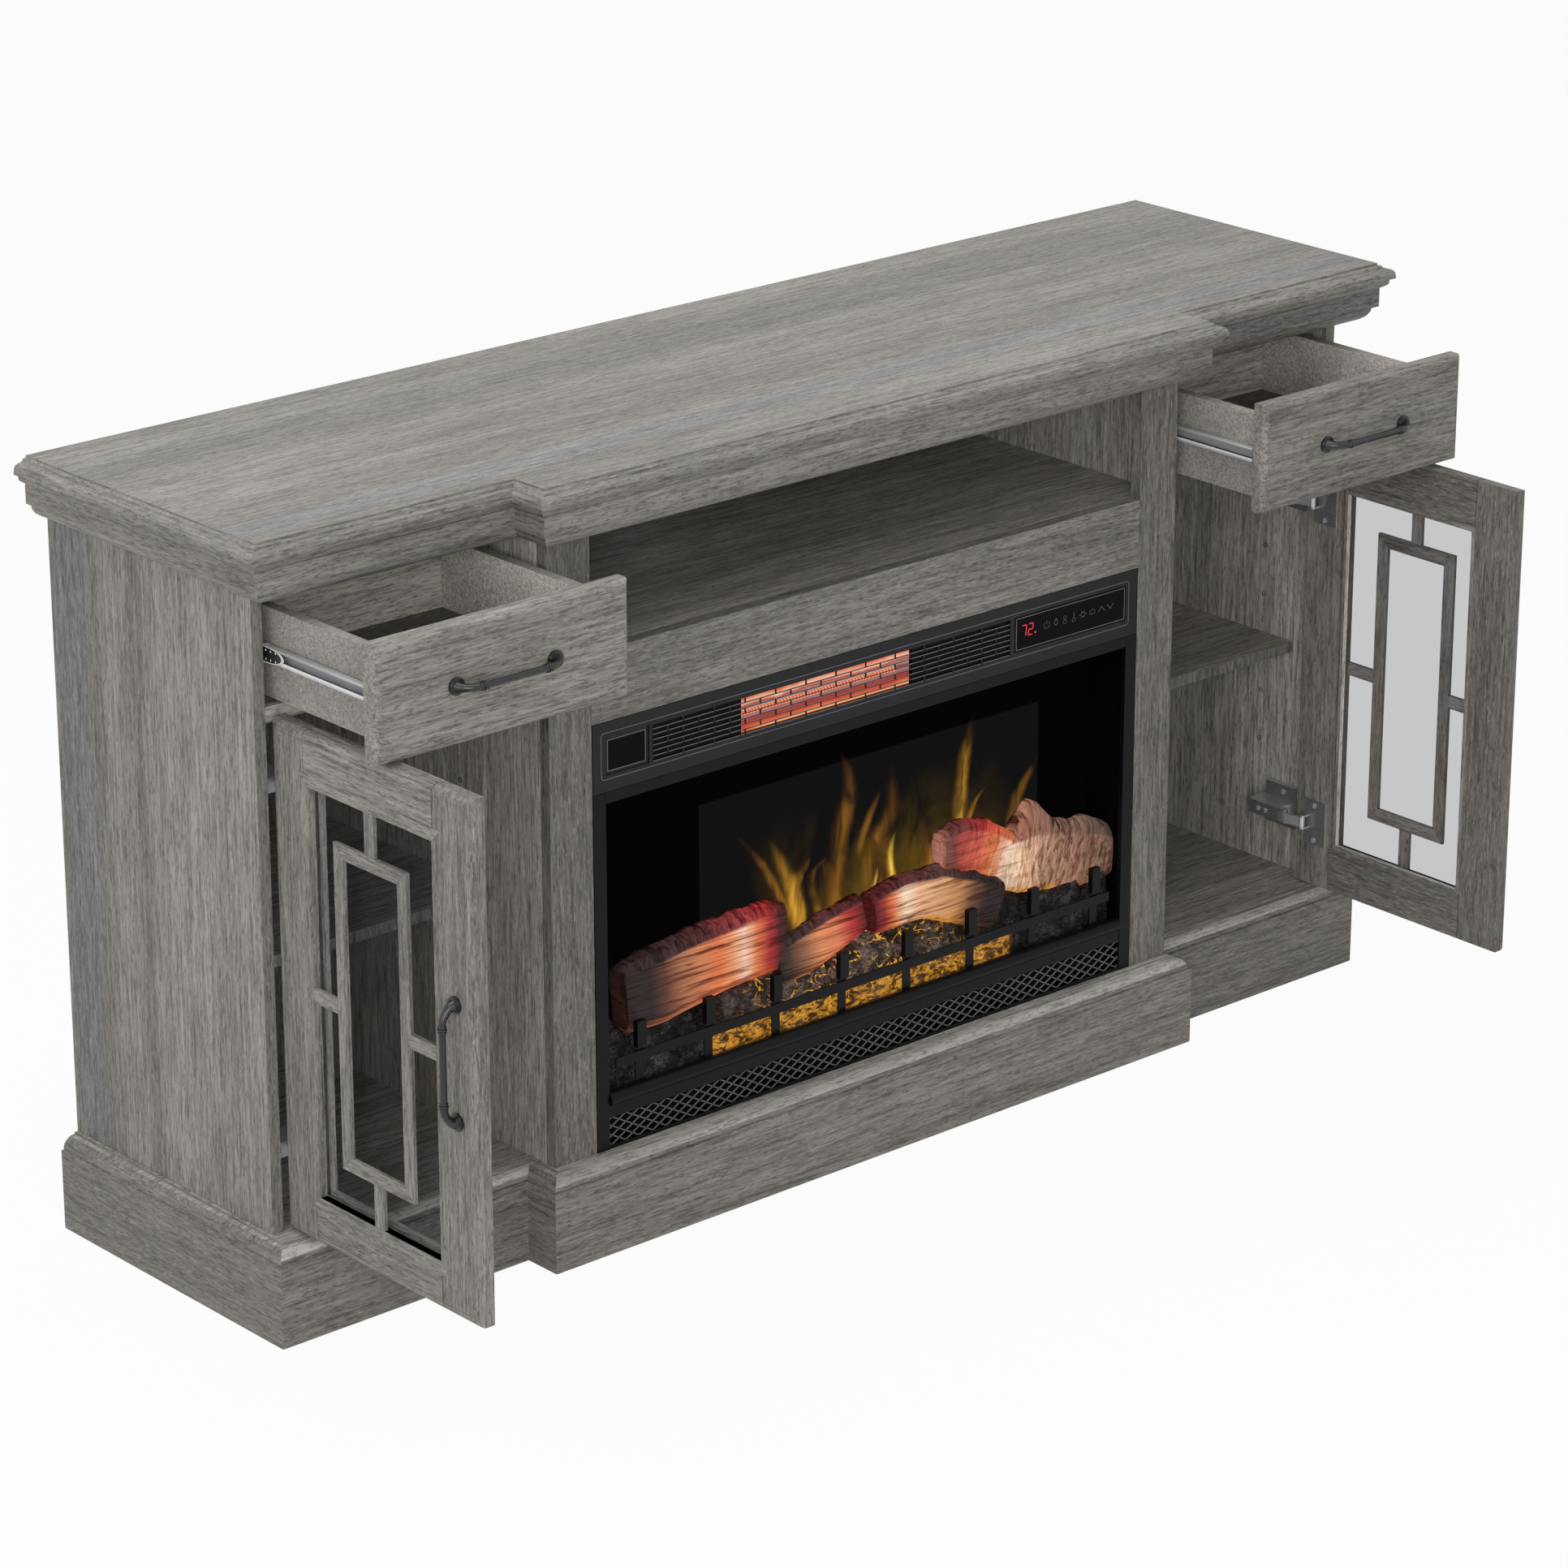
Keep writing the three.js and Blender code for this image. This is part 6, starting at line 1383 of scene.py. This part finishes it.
def make_logs():
    char = (0.03, 0.018, 0.019)
    maroon = (0.13, 0.035, 0.036)
    dark_red = (0.10, 0.013, 0.016)
    crimson = (0.5, 0.042, 0.042)
    brown = (0.17, 0.075, 0.045)
    tan = (0.42, 0.155, 0.07)
    coral = (0.82, 0.23, 0.08)
    peach = (0.92, 0.38, 0.19)
    hot = (1.0, 0.66, 0.5)
    cream = (1.0, 0.8, 0.58)
    ochre = (0.62, 0.3, 0.12)
    amber = (0.75, 0.34, 0.03)
    pale = (0.52, 0.31, 0.225)
    logs = [
        shaped_log("log_left", [(-321, 245, 37, 364, 15), (-270, 250, 40, 365, 15), (-217, 258, 39, 366, 15),
                                (-160, 262, 38, 366, 15), (-112, 262, 37, 366, 14)], 1.7,
                   [(0, char), (0.15, char), (0.24, (0.12, 0.05, 0.034)), (0.34, (0.42, 0.17, 0.09)),
                    (0.45, (0.66, 0.25, 0.12)), (0.56, coral), (0.64, peach), (0.71, hot), (0.79, coral),
                    (0.87, crimson), (0.95, dark_red), (1, char)],
                   [(0, char), (0.35, (0.06, 0.03, 0.03)), (0.5, (0.1, 0.03, 0.032)),
                    (0.68, (0.3, 0.05, 0.055)), (0.85, crimson), (0.95, dark_red), (1, char)],
                   [(0, maroon), (0.25, tan), (0.6, coral), (0.85, (0.6, 0.13, 0.05)), (1, dark_red)],
                   [(0.035, 0.015, 0.013), (0.03, 0.012, 0.012)]),
        shaped_log("log_middle", [(-120, 229, 24, 371, 9), (-88, 237, 25, 372, 9), (-50, 247, 25, 372, 9),
                                  (-3, 258, 20, 371, 8)], 4.2,
                   [(0, char), (0.14, (0.07, 0.04, 0.03)), (0.34, (0.3, 0.13, 0.07)),
                    (0.52, (0.75, 0.29, 0.13)), (0.7, (0.82, 0.25, 0.13)), (0.85, crimson), (1, dark_red)],
                   [(0, char), (0.4, (0.06, 0.03, 0.03)), (0.7, maroon), (0.9, dark_red), (1, char)],
                   [(0, brown), (0.3, tan), (0.6, (0.7, 0.2, 0.05)), (0.9, crimson), (1, dark_red)],
                   [(0.025, 0.014, 0.013), dark_red]),
        shaped_log("log_front", [(12, 250, 23, 366, 13), (55, 256, 25, 366, 14), (100, 252, 27, 366, 14),
                                 (145, 235, 27, 366, 13), (190, 215, 25, 366, 13)], 7.9,
                   [(0, dark_red), (0.07, (0.35, 0.04, 0.035)), (0.14, coral), (0.23, cream),
                    (0.34, (0.9, 0.5, 0.3)), (0.5, (0.75, 0.42, 0.22)), (0.64, ochre), (0.76, brown),
                    (0.86, char), (1, char)],
                   [(0, dark_red), (0.25, maroon), (0.5, (0.1, 0.045, 0.04)), (0.75, char), (1, char)],
                   [(0, crimson), (0.2, (0.8, 0.28, 0.1)), (0.4, amber), (0.65, amber), (0.8, brown),
                    (1, char)],
                   [dark_red, (0.06, 0.04, 0.035)]),
        shaped_log("log_right", [(172, 262, 25, 358, 12), (203, 255, 31, 357, 14), (250, 250, 37, 356, 15),
                                 (312, 238, 36, 356, 15), (366, 228, 28, 356, 14)], 3.3,
                   [(0, crimson), (0.1, coral), (0.2, hot), (0.28, cream), (0.4, (0.9, 0.56, 0.38)),
                    (0.55, (0.5, 0.29, 0.2)), (0.75, (0.36, 0.2, 0.14)),
                    (0.93, (0.24, 0.145, 0.105)), (1, brown)],
                   [(0, crimson), (0.15, coral), (0.35, (0.44, 0.19, 0.13)), (0.6, (0.28, 0.165, 0.12)),
                    (0.9, (0.15, 0.1, 0.08)), (1, char)],
                   [(0, crimson), (0.15, coral), (0.3, amber), (0.6, amber), (0.75, tan), (1, brown)],
                   [crimson, pale], 0.85, ((0.47, 0.1, 26), (0.86, 0.1, 5))),
        shaped_log("log_branch", [(117, 289, 24, 360, 12), (140, 289, 28, 359, 13), (172, 277, 31, 358, 13),
                                  (212, 256, 27, 357, 13)], 9.4,
                   [(0, (0.2, 0.07, 0.055)), (0.16, (0.24, 0.06, 0.05)), (0.34, (0.5, 0.09, 0.07)),
                    (0.55, (0.72, 0.14, 0.1)), (0.75, coral), (0.9, hot), (1, cream)],
                   [(0, (0.28, 0.1, 0.08)), (0.3, maroon), (0.6, crimson), (1, coral)],
                   [(0, dark_red), (0.4, (0.4, 0.02, 0.025)), (0.8, crimson), (1, amber)],
                   [(0.62, 0.27, 0.2), cream], 0.5),
    ]
    for index, piece in enumerate(logs):
        nodes = ("log_set",) if index == 0 else ()
        fitted(piece, "cabinet", log_glow, "log_resin", *nodes)


def wisp(name, points, width, depth, finish):
    """Curved wisp of flame through points of (x, z) in millimetres, bulging forward."""
    piece = grid(name, 8, 26)
    last = len(points) - 1
    for corner in piece.data.vertices:
        across, share = corner.co.x, (corner.co.y + 1) / 2
        step = min(int(share * last), last - 1)
        part = share * last - step
        near = [points[min(max(index, 0), last)] for index in range(step - 1, step + 3)]
        x, z = [0.5 * (2 * p1 + (p2 - p0) * part + (2 * p0 - 5 * p1 + 4 * p2 - p3) * part ** 2
                       + (3 * p1 - p0 - 3 * p2 + p3) * part ** 3) for p0, p1, p2, p3 in zip(*near)]
        girth = width * (math.sin(math.pi * (0.16 + 0.84 * share)) ** 0.8 * 0.92 + 0.08)
        waver = 2.2 * math.sin(share * 7 + width) * share
        bulge = 1.6 * (1 - across * across)
        corner.co = spot(x + across * girth / 2 + waver, depth + bulge, z)
    return fitted(smoothed(piece, 80), "cabinet", finish, "log_resin")


def make_flames():
    wisps = [
        ([(-52, 228), (-58, 285), (-96, 352)], 40, flame_yellow),
        ([(-52, 232), (-58, 285), (-38, 318)], 28, flame_yellow),
        ([(-60, 250), (-96, 312), (-138, 366)], 22, flame_amber),
        ([(-12, 215), (-36, 290), (-12, 312)], 20, flame_amber),
        ([(4, 226), (2, 284), (24, 318)], 24, flame_amber),
        ([(2, 240), (6, 330), (17, 380), (3, 422)], 40, flame_amber),
        ([(28, 296), (42, 338), (60, 368)], 22, flame_amber),
        ([(44, 232), (46, 299), (73, 342), (73, 398)], 42, flame_amber),
        ([(46, 240), (53, 268), (59, 286)], 11, flame_bright),
        ([(90, 230), (74, 281), (83, 316)], 18, flame_bright),
        ([(108, 220), (130, 274), (119, 326)], 48, flame_amber),
        ([(130, 218), (134, 250), (127, 290)], 28, flame_yellow),
        ([(184, 255), (176, 330), (192, 420)], 32, flame_yellow),
        ([(184, 294), (195, 318), (210, 333)], 14, flame_yellow),
        ([(246, 256), (257, 312), (288, 354)], 28, flame_amber),
        ([(-28, 212), (-8, 262), (-25, 318)], 60, flame_amber),
        ([(62, 212), (70, 268), (59, 330)], 66, flame_amber),
    ]
    first_depth, layers, layer_gap = 329.5, 4, 0.8
    for index, (points, width, finish) in enumerate(wisps):
        wisp(f"flame_{index:02d}", points, width, first_depth + (index % layers) * layer_gap, finish)


set_camera()
set_stage()
make_carcass()
make_pin_holes()
make_drawers()
make_pulls()
make_doors()
make_slides()
make_hinges()
make_fire_front()
make_control_bar()
make_display()
make_heater()
make_grate()
make_embers()
make_logs()
make_flames()

bpy.context.scene.view_settings.view_transform = "Standard"
